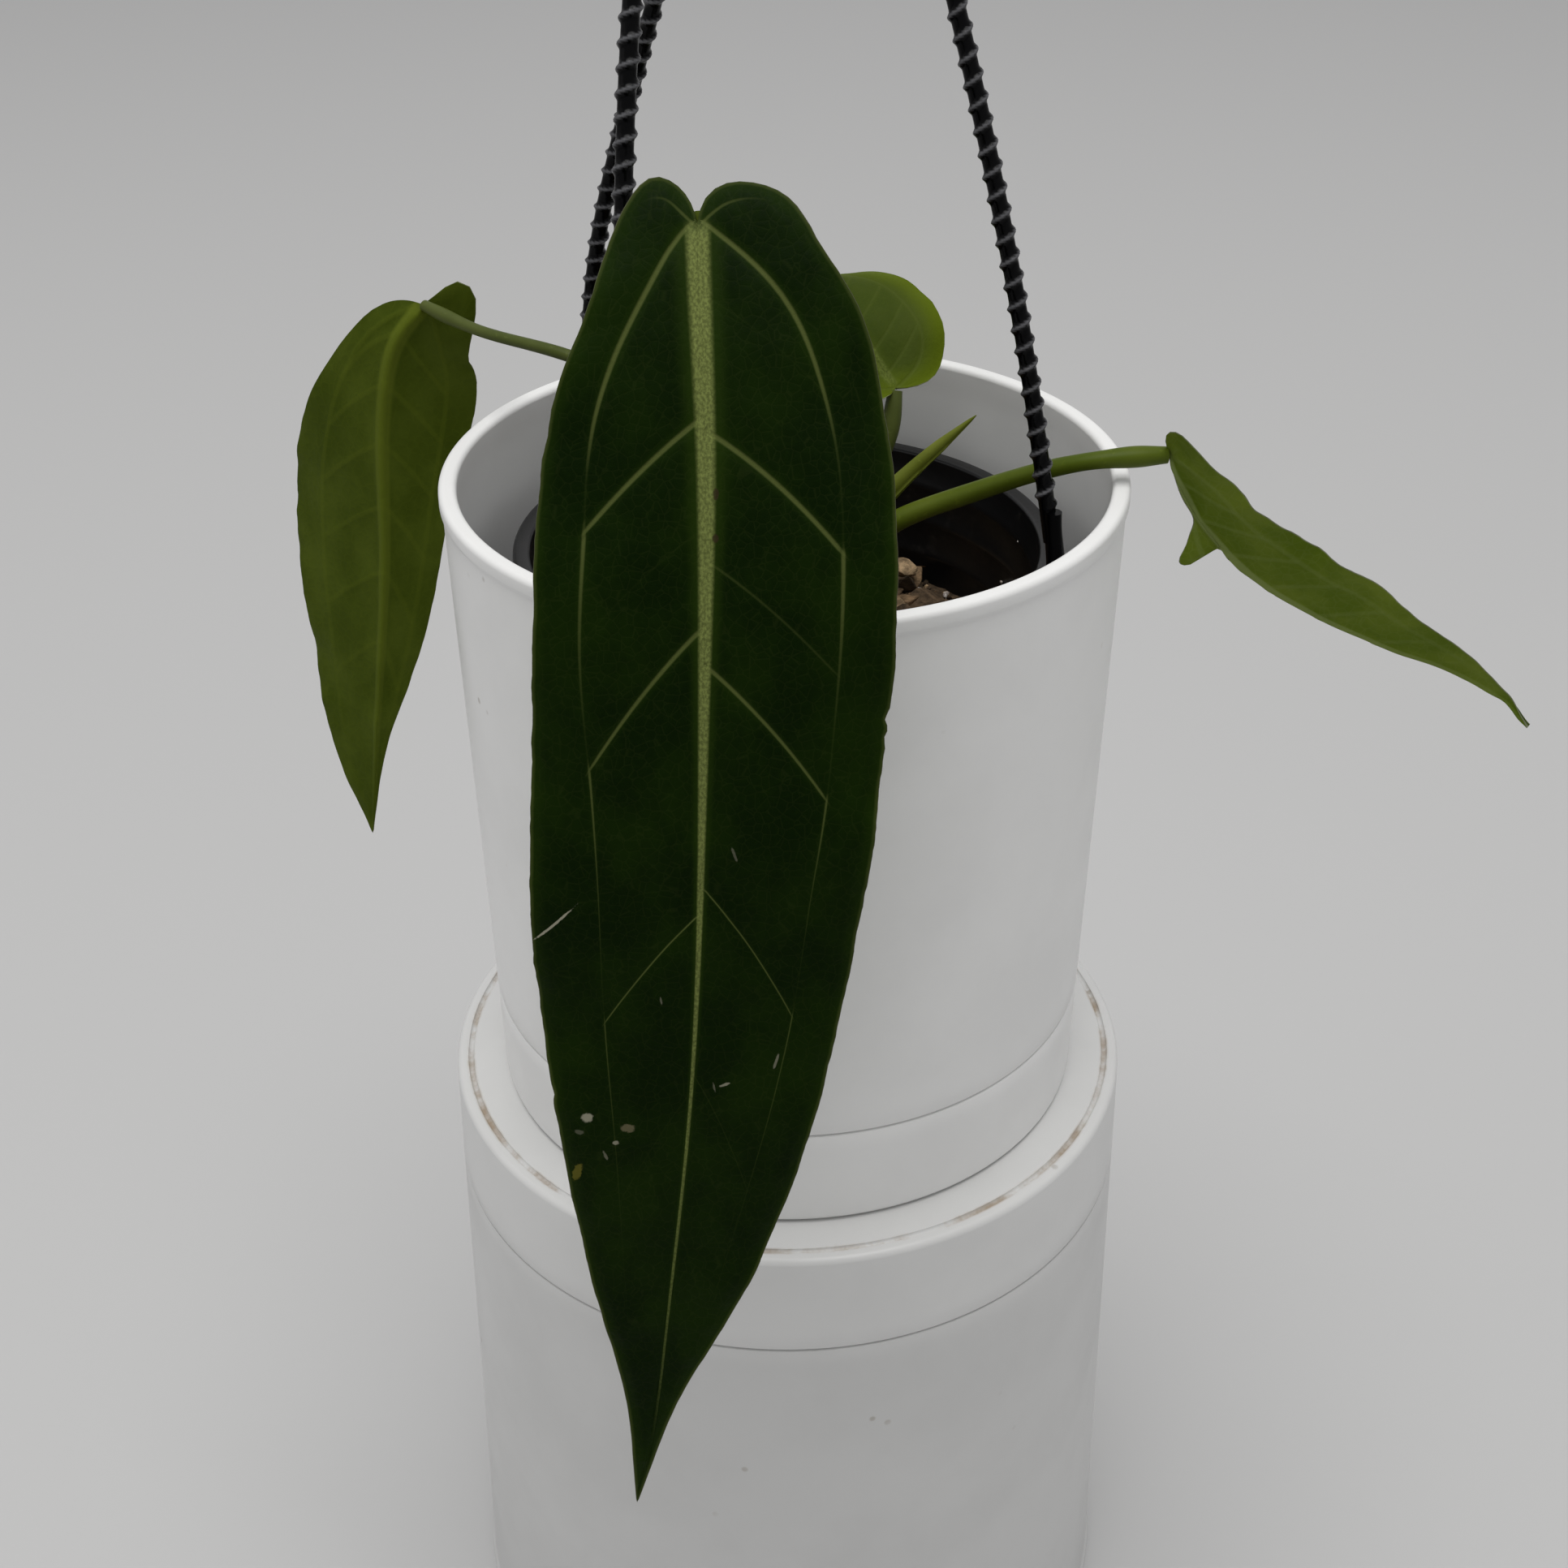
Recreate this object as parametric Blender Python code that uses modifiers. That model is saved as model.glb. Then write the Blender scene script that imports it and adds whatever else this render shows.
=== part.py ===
"""Potted anthurium: four leaves and a new shoot growing from bark mix in a black nursery pot.

The nursery pot hangs by its clips on a three-strand hanger and sits inside a white cover pot.
The cover pot stands on a larger pot of the same design, turned upside down as a riser.
Metres, +Z up. The pots' common axis is built at x = y = 0, and at the end the whole plant is
shifted so that the middle of its bounding box stands over the origin, with the riser on z = 0.
"""

import math
import random

import bmesh
import bpy
import numpy as np
from mathutils import Euler, Matrix, Vector

for old in list(bpy.data.objects):
    bpy.data.objects.remove(old, do_unlink=True)

# ---- driving dimensions, in metres ----
GAP = 0.0003  # between pieces that rest on or grip each other

# Riser: the larger pot, upside down, with its saucer uppermost.
RISER_H = 0.1750
RISER_RIM_R = 0.0852
RISER_FOOT_R = 0.0813
RISER_SEAM = 0.0264  # the height of its saucer

# Cover pot, right way up, with its saucer below.
COVER_H = 0.1508
COVER_RIM_R = 0.0730
COVER_FOOT_R = 0.0692
COVER_SEAM = 0.0248

# Both white pots share these.
POT_WALL = 0.0030
SAUCER_WALL = 0.0024
RIM_W = 0.0039  # width of the rolled rim
RIM_PROUD = 0.0005  # how far the rim stands out past the wall
RIM_LAND = 0.0013  # flat crest of the rim
GROOVE_IN = 0.0027  # from the foot's edge in to the groove round its underside
GROOVE_W = 0.0014
GROOVE_DEPTH = 0.0007
DRAIN_R = 0.0042
DRAIN_COUNT = 6

# Nursery pot, resting on the cover pot's floor.
NURSERY_H = 0.1055
NURSERY_RIM_R = 0.0586
NURSERY_FOOT_R = 0.0430
NURSERY_WALL = 0.0012
NURSERY_LIP_H = 0.0070
NURSERY_LIP_W = 0.0026
NURSERY_DRAIN_R = 0.0036

MIX_BELOW_RIM = 0.0265  # top of the bark mix below the nursery pot's rim
CROWN_R = 0.0090
CROWN_H = 0.0150

# Hanger: three ribbed strands that meet in a collar under the hook.
STRAND_R = 0.0019
STRAND_RISE = 0.2220  # from the nursery rim to the collar's underside
STRAND_MEET_R = 0.0040  # the strands' distance from the collar's axis where they enter it
HANGER_LEAN = (-0.0079, 0.0128)  # the collar's offset from the pots' axis
STRAND_TURNS = (-22.8, 139.3, 240.2)  # degrees round the pot
STRAND_BOWS = (0.0071, 0.0123, 0.0156)  # how far each bows out, low down
STRAND_SKEWS = (0.0, -0.0390, 0.0)  # how that bow changes on the way up
STRAND_NAMES = ("right", "back", "front")
CLIP_L = 0.0150
CLIP_TOP_W = 0.0050
CLIP_FOOT_W = 0.0078
CLIP_T = 0.0022
COLLAR_R = 0.0075
COLLAR_H = 0.0120
HOOK_WIRE_R = 0.0021
HOOK_BEND_R = 0.0120
HOOK_SHANK = 0.0120

LEAF_T = 0.0008  # thickness of a blade
LOBE_END = 0.235  # share of a blade that counts as its drooping lobe, and how softly that ends
LOBE_FADE = 0.008
ROW_SLANT = 0.12  # how far a row across a blade runs on towards the tip

ROUND_STEPS = 44
CHIP_SEED = 7

# ---- heights that follow ----
COVER_Z = RISER_H + GAP
COVER_TOP = COVER_Z + COVER_H
COVER_FLOOR = COVER_Z + COVER_SEAM + GAP + POT_WALL
NURSERY_Z = COVER_FLOOR + GAP
NURSERY_TOP = NURSERY_Z + NURSERY_H
MIX_TOP = NURSERY_TOP - MIX_BELOW_RIM
COLLAR_Z = NURSERY_TOP + STRAND_RISE

# ---- collections, root and materials ----
plant_parts = bpy.data.collections.new("potted_anthurium")
cutters = bpy.data.collections.new("cutters")
for made in (plant_parts, cutters):
    bpy.context.scene.collection.children.link(made)
root = bpy.data.objects.new("plant_root", None)
plant_parts.objects.link(root)


def material(name, colour, roughness):
    made = bpy.data.materials.new(name)
    made.use_nodes = True
    shader = made.node_tree.nodes["Principled BSDF"]
    shader.inputs["Base Color"].default_value = (*colour, 1.0)
    shader.inputs["Roughness"].default_value = roughness
    return made


WHITE = material("white_plastic", (0.80, 0.80, 0.79), 0.38)
BLACK = material("black_plastic", (0.015, 0.015, 0.016), 0.35)
BARK = material("bark", (0.16, 0.09, 0.05), 0.9)
PERLITE = material("perlite", (0.72, 0.70, 0.66), 0.9)
STALK = material("stalk", (0.12, 0.22, 0.04), 0.5)
DARK_LEAF = material("dark_leaf", (0.015, 0.06, 0.012), 0.6)
YOUNG_LEAF = material("young_leaf", (0.12, 0.22, 0.03), 0.5)
CROWN = material("crown", (0.14, 0.13, 0.05), 0.8)


def add_object(name, data, look):
    made = bpy.data.objects.new(name, data)
    plant_parts.objects.link(made)
    made.parent = root
    data.materials.append(look)
    return made


def smooth(made, degrees=35):
    made.data.shade_smooth()
    made.data.set_sharp_from_angle(angle=math.radians(degrees))


# ---- turned shapes ----
def arc(centre, radius, start, end, count):
    """Points of an arc in a profile, from start to end degrees, 0 pointing away from the axis."""
    turns = [math.radians(start + (end - start) * i / count) for i in range(count + 1)]
    return [(centre[0] + radius * math.cos(a), centre[1] + radius * math.sin(a)) for a in turns]


def turned(name, profile, look, closed=False, steps=ROUND_STEPS):
    """A solid of revolution. The profile runs down its outer side, top to bottom."""
    mesh = bpy.data.meshes.new(name)
    edges = [(i, i + 1) for i in range(len(profile) - 1)]
    if closed:
        edges.append((len(profile) - 1, 0))
    mesh.from_pydata([(x, 0.0, z) for x, z in profile], edges, [])
    made = add_object(name, mesh, look)
    screw = made.modifiers.new("turn", "SCREW")
    screw.axis = "Z"
    screw.steps = screw.render_steps = steps
    screw.use_merge_vertices = True
    screw.merge_threshold = 0.00005
    screw.use_smooth_shade = True
    return made


def upside_down(profile, top):
    """The same section with z measured down from top, still running down its outer side."""
    return [(x, top - z) for x, z in reversed(profile)]


def wall_radius(z, height, foot_r, rim_r):
    """Outer radius of a white pot's tapered wall at z above its foot."""
    return foot_r + (rim_r - RIM_PROUD - foot_r) * z / height


def pot_profile(height, foot_r, rim_r, seam):
    """Section of a white pot above its saucer: floor, wall and rolled rim."""
    roll = (RIM_W - RIM_LAND) / 2
    outer = rim_r - roll
    inner = rim_r - RIM_W + roll
    base = seam + GAP
    under_rim = height - RIM_W * 1.1
    r_low = wall_radius(base, height, foot_r, rim_r)
    r_high = wall_radius(under_rim, height, foot_r, rim_r)
    floor = base + POT_WALL
    section = [(0.0, floor), (r_low - POT_WALL - 0.003, floor), (r_low - POT_WALL, floor + 0.003)]
    section += [(r_high - POT_WALL, under_rim - 0.001)]
    section += arc((inner, height - roll), roll, 180, 90, 3)
    section += arc((outer, height - roll), roll, 90, 0, 3)
    section += [(rim_r, under_rim + 0.0012), (r_high, under_rim)]
    section += [(r_low, base + 0.0005), (r_low - 0.0005, base), (0.0, base)]
    return section


def saucer_profile(height, foot_r, rim_r, seam):
    """Section of the clip-on saucer, a shallow cup with a groove round its underside."""
    r_top = wall_radius(seam, height, foot_r, rim_r)
    groove_out = foot_r - GROOVE_IN
    groove_in = groove_out - GROOVE_W
    section = [(0.0, SAUCER_WALL), (foot_r - SAUCER_WALL - 0.002, SAUCER_WALL)]
    section += [(foot_r - SAUCER_WALL, SAUCER_WALL + 0.002), (r_top - SAUCER_WALL, seam)]
    section += [(r_top - 0.0004, seam), (r_top, seam - 0.0004), (foot_r, 0.0016)]
    section += [(foot_r - 0.0005, 0.0005), (foot_r - 0.0016, 0.0), (groove_out, 0.0)]
    section += [((groove_out + groove_in) / 2, GROOVE_DEPTH), (groove_in, 0.0), (0.0, 0.0)]
    return section


def raised(profile, z):
    return [(x, h + z) for x, h in profile]


def cut(made, cutter):
    cutter.hide_render = True
    cutter.display_type = "WIRE"
    boolean = made.modifiers.new("cut", "BOOLEAN")
    boolean.operation = "DIFFERENCE"
    boolean.object = cutter


def drain_cutter(name, ring_r, hole_r, z, depth):
    """A ring of upright cylinders through a pot's floor."""
    work = bmesh.new()
    for i in range(DRAIN_COUNT):
        turn = 2 * math.pi * i / DRAIN_COUNT
        where = Matrix.Translation((ring_r * math.cos(turn), ring_r * math.sin(turn), z))
        bmesh.ops.create_cone(
            work, cap_ends=True, segments=10, radius1=hole_r, radius2=hole_r, depth=depth, matrix=where
        )
    mesh = bpy.data.meshes.new(name)
    work.to_mesh(mesh)
    work.free()
    made = bpy.data.objects.new(name, mesh)
    cutters.objects.link(made)
    made.parent = root
    return made


def white_pots():
    riser = (RISER_H, RISER_FOOT_R, RISER_RIM_R, RISER_SEAM)
    cover = (COVER_H, COVER_FOOT_R, COVER_RIM_R, COVER_SEAM)
    riser_pot = turned("riser_pot", upside_down(pot_profile(*riser), RISER_H), WHITE)
    turned("riser_pot_saucer", upside_down(saucer_profile(*riser), RISER_H), WHITE)
    cover_pot = turned("cover_pot", raised(pot_profile(*cover), COVER_Z), WHITE)
    turned("cover_pot_saucer", raised(saucer_profile(*cover), COVER_Z), WHITE)
    floor_mid = RISER_H - RISER_SEAM - POT_WALL / 2
    cut(riser_pot, drain_cutter("riser_drains", RISER_FOOT_R * 0.6, DRAIN_R, floor_mid, 0.012))
    floor_mid = COVER_FLOOR - POT_WALL / 2
    cut(cover_pot, drain_cutter("cover_drains", COVER_FOOT_R * 0.6, DRAIN_R, floor_mid, 0.012))


def nursery_inner(z):
    """Inner radius of the nursery pot's wall at world height z."""
    share = (z - NURSERY_Z) / NURSERY_H
    throat = NURSERY_RIM_R - NURSERY_LIP_W
    return NURSERY_FOOT_R + (throat - NURSERY_FOOT_R) * share - NURSERY_WALL


def nursery_pot():
    top, base = NURSERY_TOP, NURSERY_Z
    throat = NURSERY_RIM_R - NURSERY_LIP_W
    lip = top - NURSERY_LIP_H
    at_lip = nursery_inner(lip) + NURSERY_WALL
    section = [(0.0, base + NURSERY_WALL), (nursery_inner(base) - 0.001, base + NURSERY_WALL)]
    section += [(nursery_inner(base + 0.004), base + 0.004), (throat - NURSERY_WALL, top - 0.0010)]
    section += [(throat - NURSERY_WALL + 0.0006, top), (NURSERY_RIM_R - 0.0006, top)]
    section += [(NURSERY_RIM_R, top - 0.0006), (NURSERY_RIM_R, lip)]
    section += [(NURSERY_RIM_R - NURSERY_WALL, lip), (NURSERY_RIM_R - NURSERY_WALL, top - NURSERY_WALL)]
    section += [(throat, top - NURSERY_WALL - 0.0008), (at_lip, lip)]
    section += [(NURSERY_FOOT_R, base + 0.001), (NURSERY_FOOT_R - 0.001, base), (0.0, base)]
    made = turned("nursery_pot", section, BLACK)
    drains = drain_cutter("nursery_drains", NURSERY_FOOT_R * 0.72, NURSERY_DRAIN_R, base, 0.008)
    cut(made, drains)


def potting_mix():
    low = NURSERY_Z + NURSERY_WALL + GAP
    r_low = nursery_inner(NURSERY_Z + 0.004) - GAP - 0.001
    r_top = nursery_inner(MIX_TOP) - GAP * 2
    section = [(0.0, MIX_TOP), (r_top * 0.55, MIX_TOP), (r_top - 0.002, MIX_TOP)]
    section += [(r_top - 0.0006, MIX_TOP - 0.001), (r_low, low + 0.004), (r_low - 0.003, low), (0.0, low)]
    turned("potting_mix", section, BARK, steps=32)


# ---- curves through chosen points ----
def spline(knots, values, at):
    """Natural cubic spline through values at knots, read at the given places."""
    knots, values, at = (np.asarray(a, float) for a in (knots, values, at))
    n = len(knots)
    step = np.diff(knots)
    system = np.eye(n)
    right = np.zeros((n,) + values.shape[1:])
    for i in range(1, n - 1):
        system[i, i - 1 : i + 2] = step[i - 1], 2 * (step[i - 1] + step[i]), step[i]
        rise = (values[i + 1] - values[i]) / step[i] - (values[i] - values[i - 1]) / step[i - 1]
        right[i] = 6 * rise
    bend = np.linalg.solve(system, right)
    k = np.clip(np.searchsorted(knots, at) - 1, 0, n - 2)
    h = step[k]
    a, b = (knots[k + 1] - at) / h, (at - knots[k]) / h
    if values.ndim > 1:
        a, b, h = a[:, None], b[:, None], h[:, None]
    curve = ((a**3 - a) * bend[k] + (b**3 - b) * bend[k + 1]) * h**2 / 6
    return a * values[k] + b * values[k + 1] + curve


def along(points):
    """Distance of each point from the first, point to point."""
    steps = np.linalg.norm(np.diff(np.asarray(points, float), axis=0), axis=1)
    return np.concatenate([[0.0], np.cumsum(steps)])


def smooth_path(points, count):
    places = along(points)
    return spline(places, points, np.linspace(0, places[-1], count))


def tube(name, points, radii, look, count=16, resolution=2):
    """A round stalk or wire: a bevelled curve with filled caps and a radius at each point."""
    path = smooth_path(points, count)
    sizes = np.interp(np.linspace(0, 1, count), np.linspace(0, 1, len(radii)), radii)
    data = bpy.data.curves.new(name, "CURVE")
    data.dimensions = "3D"
    data.bevel_depth = 1.0
    data.bevel_resolution = resolution
    data.use_fill_caps = True
    line = data.splines.new("POLY")
    line.points.add(count - 1)
    for point, place, size in zip(line.points, path, sizes):
        point.co = (*place, 1.0)
        point.radius = size
    return add_object(name, data, look)


def as_mesh(made):
    """Replaces a curve object by its welded mesh."""
    bpy.context.view_layer.update()
    shape = made.evaluated_get(bpy.context.evaluated_depsgraph_get())
    mesh = bpy.data.meshes.new_from_object(shape)
    work = bmesh.new()
    work.from_mesh(mesh)
    bmesh.ops.remove_doubles(work, verts=work.verts, dist=0.00001)
    bmesh.ops.recalc_face_normals(work, faces=work.faces)
    work.to_mesh(mesh)
    work.free()
    name = made.name
    look = made.data.materials[0]
    bpy.data.objects.remove(made, do_unlink=True)
    mesh.materials.clear()
    return add_object(name, mesh, look)


# ---- leaves ----
def blade_point(leaf, path, places, s, w):
    """Where a point of the flat leaf lies: s along the midrib from the joint, w across it."""
    at = np.array([s - 0.0005, s, s + 0.0005])
    before, here, after = spline(places, path, at)
    forward = Vector(after - before).normalized()
    side = Vector(leaf["across"])
    side = (side - forward * side.dot(forward)).normalized()
    upper = forward.cross(side)
    half = 0 if w < 0 else 1
    share = min(abs(w) / leaf["half_width"], 1.2)
    droop = leaf["lobe_droop"][half] / (1 + math.exp((s / leaf["length"] - LOBE_END) / LOBE_FADE))
    lift = math.radians(leaf["fold"][half] + leaf["curl"][half] * share / 2 - droop)
    wave = leaf["wave"] * share**2 * math.sin(leaf["waves"] * 2 * math.pi * s / leaf["length"] + half)
    out = Vector(here) + side * (w * math.cos(lift)) + upper * (abs(w) * math.sin(lift) + wave)
    return out


def leaf_path(leaf):
    """The midrib's course, from the lobes' end back of the joint to the tip, at its true length."""
    shape = np.asarray(leaf["course"], float)
    places = along(shape)
    joint = places[1]
    scale = leaf["length"] / (places[-1] - joint)
    path = np.asarray(leaf["joint"], float) + (shape - shape[1]) * scale
    return path, (places - joint) * scale


def edge_points(outline, rows):
    """Points along an outline, closer together round the lobe."""
    places = along(outline)
    return spline(places, outline, places[-1] * np.linspace(0, 1, rows + 1) ** 1.5)


def leaf_blade(name, leaf, look, rows=24, columns=4):
    """A blade from its flat outline, bent along its midrib, with the leaf's thickness."""
    path, places = leaf_path(leaf)
    length, half_width = leaf["length"], leaf["half_width"]
    edges = []
    for outline in (leaf["left"], leaf["right"]):
        edges.append(edge_points([(s * length, w * half_width) for s, w in outline], rows))
    reach = (edges[0][:, 0] + edges[1][:, 0]) / 2
    feet = np.maximum(0.0, reach - ROW_SLANT * (length - reach))
    work = bmesh.new()
    for side, edge in zip((-1, 1), edges):
        grid = []
        for foot, (s_edge, w_edge) in zip(feet, edge):
            line = []
            for j in range(columns + 1):
                share = j / columns
                s = foot + (s_edge - foot) * share
                line.append(work.verts.new(blade_point(leaf, path, places, s, side * w_edge * share)))
            grid.append(line)
        for row, following in zip(grid, grid[1:]):
            for j in range(columns):
                corners = (row[j], row[j + 1], following[j + 1], following[j])
                work.faces.new(corners if side > 0 else corners[::-1])
    bmesh.ops.remove_doubles(work, verts=work.verts, dist=0.00002)
    bmesh.ops.dissolve_degenerate(work, edges=work.edges, dist=0.00001)
    bmesh.ops.recalc_face_normals(work, faces=work.faces)
    mesh = bpy.data.meshes.new(name)
    work.to_mesh(mesh)
    work.free()
    made = add_object(name, mesh, look)
    solid = made.modifiers.new("thickness", "SOLIDIFY")
    solid.thickness = LEAF_T
    solid.offset = 0.0
    smooth(made, 60)
    return made


# Flat outlines from the sinus round the lobe to the tip: share of length, share of half width.
FRONT_LEFT_EDGE = (
    (0.0, 0.0), (-0.012, 0.03), (-0.024, 0.10), (-0.030, 0.22), (-0.014, 0.36), (0.037, 0.535),
    (0.10, 0.76), (0.18, 0.89), (0.30, 0.925), (0.42, 0.95), (0.50, 0.93), (0.60, 0.815),
    (0.69, 0.67), (0.80, 0.42), (0.90, 0.18), (0.955, 0.085), (1.0, 0.0),
)  # fmt: skip
FRONT_RIGHT_EDGE = (
    (0.0, 0.0), (-0.014, 0.035), (-0.024, 0.12), (-0.026, 0.27), (-0.018, 0.44), (0.015, 0.63),
    (0.055, 0.81), (0.11, 0.93), (0.185, 1.0), (0.25, 1.02), (0.357, 0.975), (0.457, 0.90),
    (0.577, 0.775), (0.696, 0.61), (0.79, 0.40), (0.85, 0.22), (0.904, 0.09), (0.96, 0.03), (1.0, 0.0),
)  # fmt: skip
LEFT_OUTER_EDGE = (
    (0.0, 0.0), (0.008, 0.08), (0.03, 0.20), (0.092, 0.375), (0.19, 0.66), (0.325, 0.895),
    (0.465, 0.925), (0.615, 0.79), (0.787, 0.56), (0.90, 0.32), (1.0, 0.0),
)  # fmt: skip
LEFT_INNER_EDGE = (
    (0.0, 0.0), (-0.028, 0.055), (-0.056, 0.16), (-0.052, 0.28), (-0.022, 0.38), (0.08, 0.63),
    (0.20, 0.72), (0.32, 0.60), (0.40, 0.50), (0.51, 0.42), (0.66, 0.29), (0.79, 0.12),
    (0.89, 0.04), (1.0, 0.0),
)  # fmt: skip
RIGHT_NEAR_EDGE = (
    (0.0, 0.0), (-0.032, 0.04), (-0.050, 0.12), (-0.055, 0.30), (-0.02, 0.48), (0.035, 0.64),
    (0.14, 0.82), (0.30, 0.90), (0.44, 0.94), (0.58, 0.76), (0.74, 0.46), (0.86, 0.18), (1.0, 0.0),
)  # fmt: skip
RIGHT_FAR_EDGE = (
    (0.0, 0.0), (0.05, 0.03), (0.11, 0.05), (0.150, 0.08), (0.166, 0.20), (0.182, 0.33), (0.203, 0.50),
    (0.216, 0.48), (0.222, 0.36), (0.226, 0.20), (0.250, 0.14), (0.285, 0.28), (0.33, 0.50),
    (0.40, 0.68), (0.48, 0.72), (0.60, 0.62), (0.76, 0.38), (0.90, 0.14), (1.0, 0.0),
)  # fmt: skip
HEART_EDGE = (
    (0.0, 0.0), (-0.022, 0.14), (-0.034, 0.34), (-0.022, 0.54), (0.025, 0.77), (0.12, 0.95),
    (0.21, 1.03), (0.30, 1.03), (0.40, 0.90), (0.55, 0.62), (0.72, 0.36), (0.88, 0.12), (1.0, 0.0),
)  # fmt: skip

RIM = Vector((0.0, 0.0, COVER_TOP))
OUT = COVER_RIM_R  # joints that hang outside the pot stand off from its rim by a set overhang

FRONT_LEAF = {
    "joint": RIM + Vector((-0.0136, -OUT - 0.0146, 0.0803)),
    "length": 0.2530,
    "half_width": 0.0305,
    "across": (1.0, 0.0, 0.0),
    "fold": (4, 4),
    "curl": (-10, -10),
    "lobe_droop": (0, 0),
    "wave": 0.0012,
    "waves": 5,
    "course": (
        (0.000, 0.12, 1.24), (0.000, 0.00, 1.10), (0.014, -0.23, 0.70), (0.005, -0.40, 0.20),
        (-0.018, -0.50, -0.40), (-0.060, -0.57, -1.00), (-0.129, -0.62, -1.60),
        (-0.184, -0.64, -2.02), (-0.233, -0.65, -2.26),
    ),
    "left": FRONT_LEFT_EDGE,
    "right": FRONT_RIGHT_EDGE,
}  # fmt: skip
LEFT_LEAF = {
    "joint": RIM + Vector((-OUT - 0.0080, 0.0450, 0.0200)),
    "length": 0.1450,
    "half_width": 0.0300,
    "across": (-0.92, 0.38, 0.0),
    "fold": (38, 4),
    "curl": (14, 14),
    "lobe_droop": (0, 0),
    "wave": 0.0008,
    "waves": 3,
    "course": (
        (0.06, 0.02, 0.10), (0.0, 0.0, 0.0), (-0.08, 0.0, -0.10), (-0.15, 0.0, -0.30),
        (-0.20, 0.0, -0.80), (-0.28, 0.0, -1.40), (-0.355, 0.0, -1.95),
    ),
    "left": LEFT_INNER_EDGE,
    "right": LEFT_OUTER_EDGE,
}  # fmt: skip
RIGHT_LEAF = {
    "joint": RIM + Vector((OUT + 0.0069, -0.0080, 0.0056)),
    "length": 0.1060,
    "half_width": 0.0180,
    "across": (0.0, 0.62, -0.78),
    "fold": (10, 26),
    "curl": (10, 10),
    "lobe_droop": (0, 85),
    "wave": 0.0009,
    "waves": 4,
    "course": (
        (-0.05, 0.00, 0.12), (0.0, 0.0, 0.0), (0.082, -0.01, -0.16), (0.16, -0.02, -0.259),
        (0.313, -0.04, -0.394), (0.512, -0.06, -0.505), (0.71, -0.08, -0.59),
        (0.908, -0.10, -0.662), (1.038, -0.11, -0.74), (1.136, -0.12, -0.833),
    ),
    "left": RIGHT_NEAR_EDGE,
    "right": RIGHT_FAR_EDGE,
}  # fmt: skip
BACK_LEAF = {
    "joint": RIM + Vector((0.0246, 0.0260, 0.0068)),
    "length": 0.0660,
    "half_width": 0.0185,
    "across": (-0.95, -0.30, 0.0),
    "fold": (10, 10),
    "curl": (-16, -16),
    "lobe_droop": (0, 0),
    "wave": 0.0008,
    "waves": 3,
    "course": (
        (0.12, -0.17, -0.03), (0.0, 0.0, 0.0), (-0.16, 0.16, 0.20), (-0.34, 0.38, 0.28),
        (-0.54, 0.60, 0.20), (-0.70, 0.78, 0.02),
    ),
    "left": HEART_EDGE,
    "right": HEART_EDGE,
}  # fmt: skip
LEAVES = {"front": FRONT_LEAF, "left": LEFT_LEAF, "right": RIGHT_LEAF, "back": BACK_LEAF}

MIX = Vector((0.0, 0.0, MIX_TOP))
CROWN_AT = MIX + Vector((0.0030, 0.0080, GAP))
CROWN_REACH = math.hypot(CROWN_AT.x, CROWN_AT.y) + CROWN_R  # the crown's far side, from the pots' axis

# Each petiole's middle points between the crown and its leaf's joint. Low ones follow the mix,
# and high ones the cover pot's rim. The left stalk passes the hanger's back strand, inside its foot.
PETIOLES = {
    "front": (RIM + Vector((0.0, -0.012, 0.004)), RIM + Vector((-0.008, -OUT + 0.014, 0.0640))),
    "left": (
        RIM + Vector((-0.0230, 0.0140, 0.0060)),
        RIM + Vector((-NURSERY_RIM_R + 0.0117, 0.0204, 0.0173)),
        RIM + Vector((-OUT + 0.0060, 0.0340, 0.0180)),
    ),
    "right": (
        MIX + Vector((0.0248, 0.0058, 0.0281)),
        RIM + Vector((0.0374, 0.0036, -0.0090)),
        RIM + Vector((OUT - 0.0101, -0.0088, 0.0046)),
    ),
    "back": (MIX + Vector((0.0105, 0.0205, 0.0194)), RIM + Vector((0.0219, 0.0214, -0.0063))),
}
JOINT_CLEAR = {"front": 0.0014, "left": 0.0022, "right": 0.0030, "back": 0.0018}
PETIOLE_RADII = {
    "front": (0.0030, 0.0024, 0.0021),
    "left": (0.0022, 0.0015, 0.0012),
    "right": (0.0027, 0.0022, 0.0017),
    "back": (0.0021, 0.0018, 0.0015),
}


def crown():
    """The short stem at the mix, under all the petioles."""
    x, y, z = CROWN_AT
    section = [(0.0, CROWN_H), (CROWN_R * 0.45, CROWN_H * 0.97), (CROWN_R * 0.8, CROWN_H * 0.75)]
    section += [(CROWN_R, CROWN_H * 0.4), (CROWN_R * 0.92, 0.001), (CROWN_R * 0.85, 0.0), (0.0, 0.0)]
    made = turned("stem_crown", section, CROWN, steps=20)
    made.location = (x, y, z)


def petiole(name, leaf, middle, radii, clear):
    """A stalk from the crown's side to just short of its blade."""
    joint = Vector(leaf["joint"])
    centre = CROWN_AT + Vector((0, 0, CROWN_H * 0.55))
    leave = (middle[0] - centre).normalized()
    start = centre + leave * (CROWN_R * 1.12 + GAP * 2 + radii[0] * 0.3)
    arrive = (joint - middle[-1]).normalized()
    end = joint - arrive * clear
    tube(name, [start, *middle, end], radii, STALK)


def new_leaf():
    """The rolled new leaf, a slim pointed spike beside the petioles."""
    start = CROWN_AT + Vector((CROWN_R * 0.45, 0.0035, CROWN_H + 0.0020))
    belly = MIX + Vector((0.0235, 0.0107, 0.0331))
    tip = MIX + Vector((0.0411, 0.0088, 0.0510))
    tube("new_leaf_spike", (start, belly, tip), (0.0016, 0.0020, 0.0021, 0.0014, 0.0002), STALK, 14)


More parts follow.
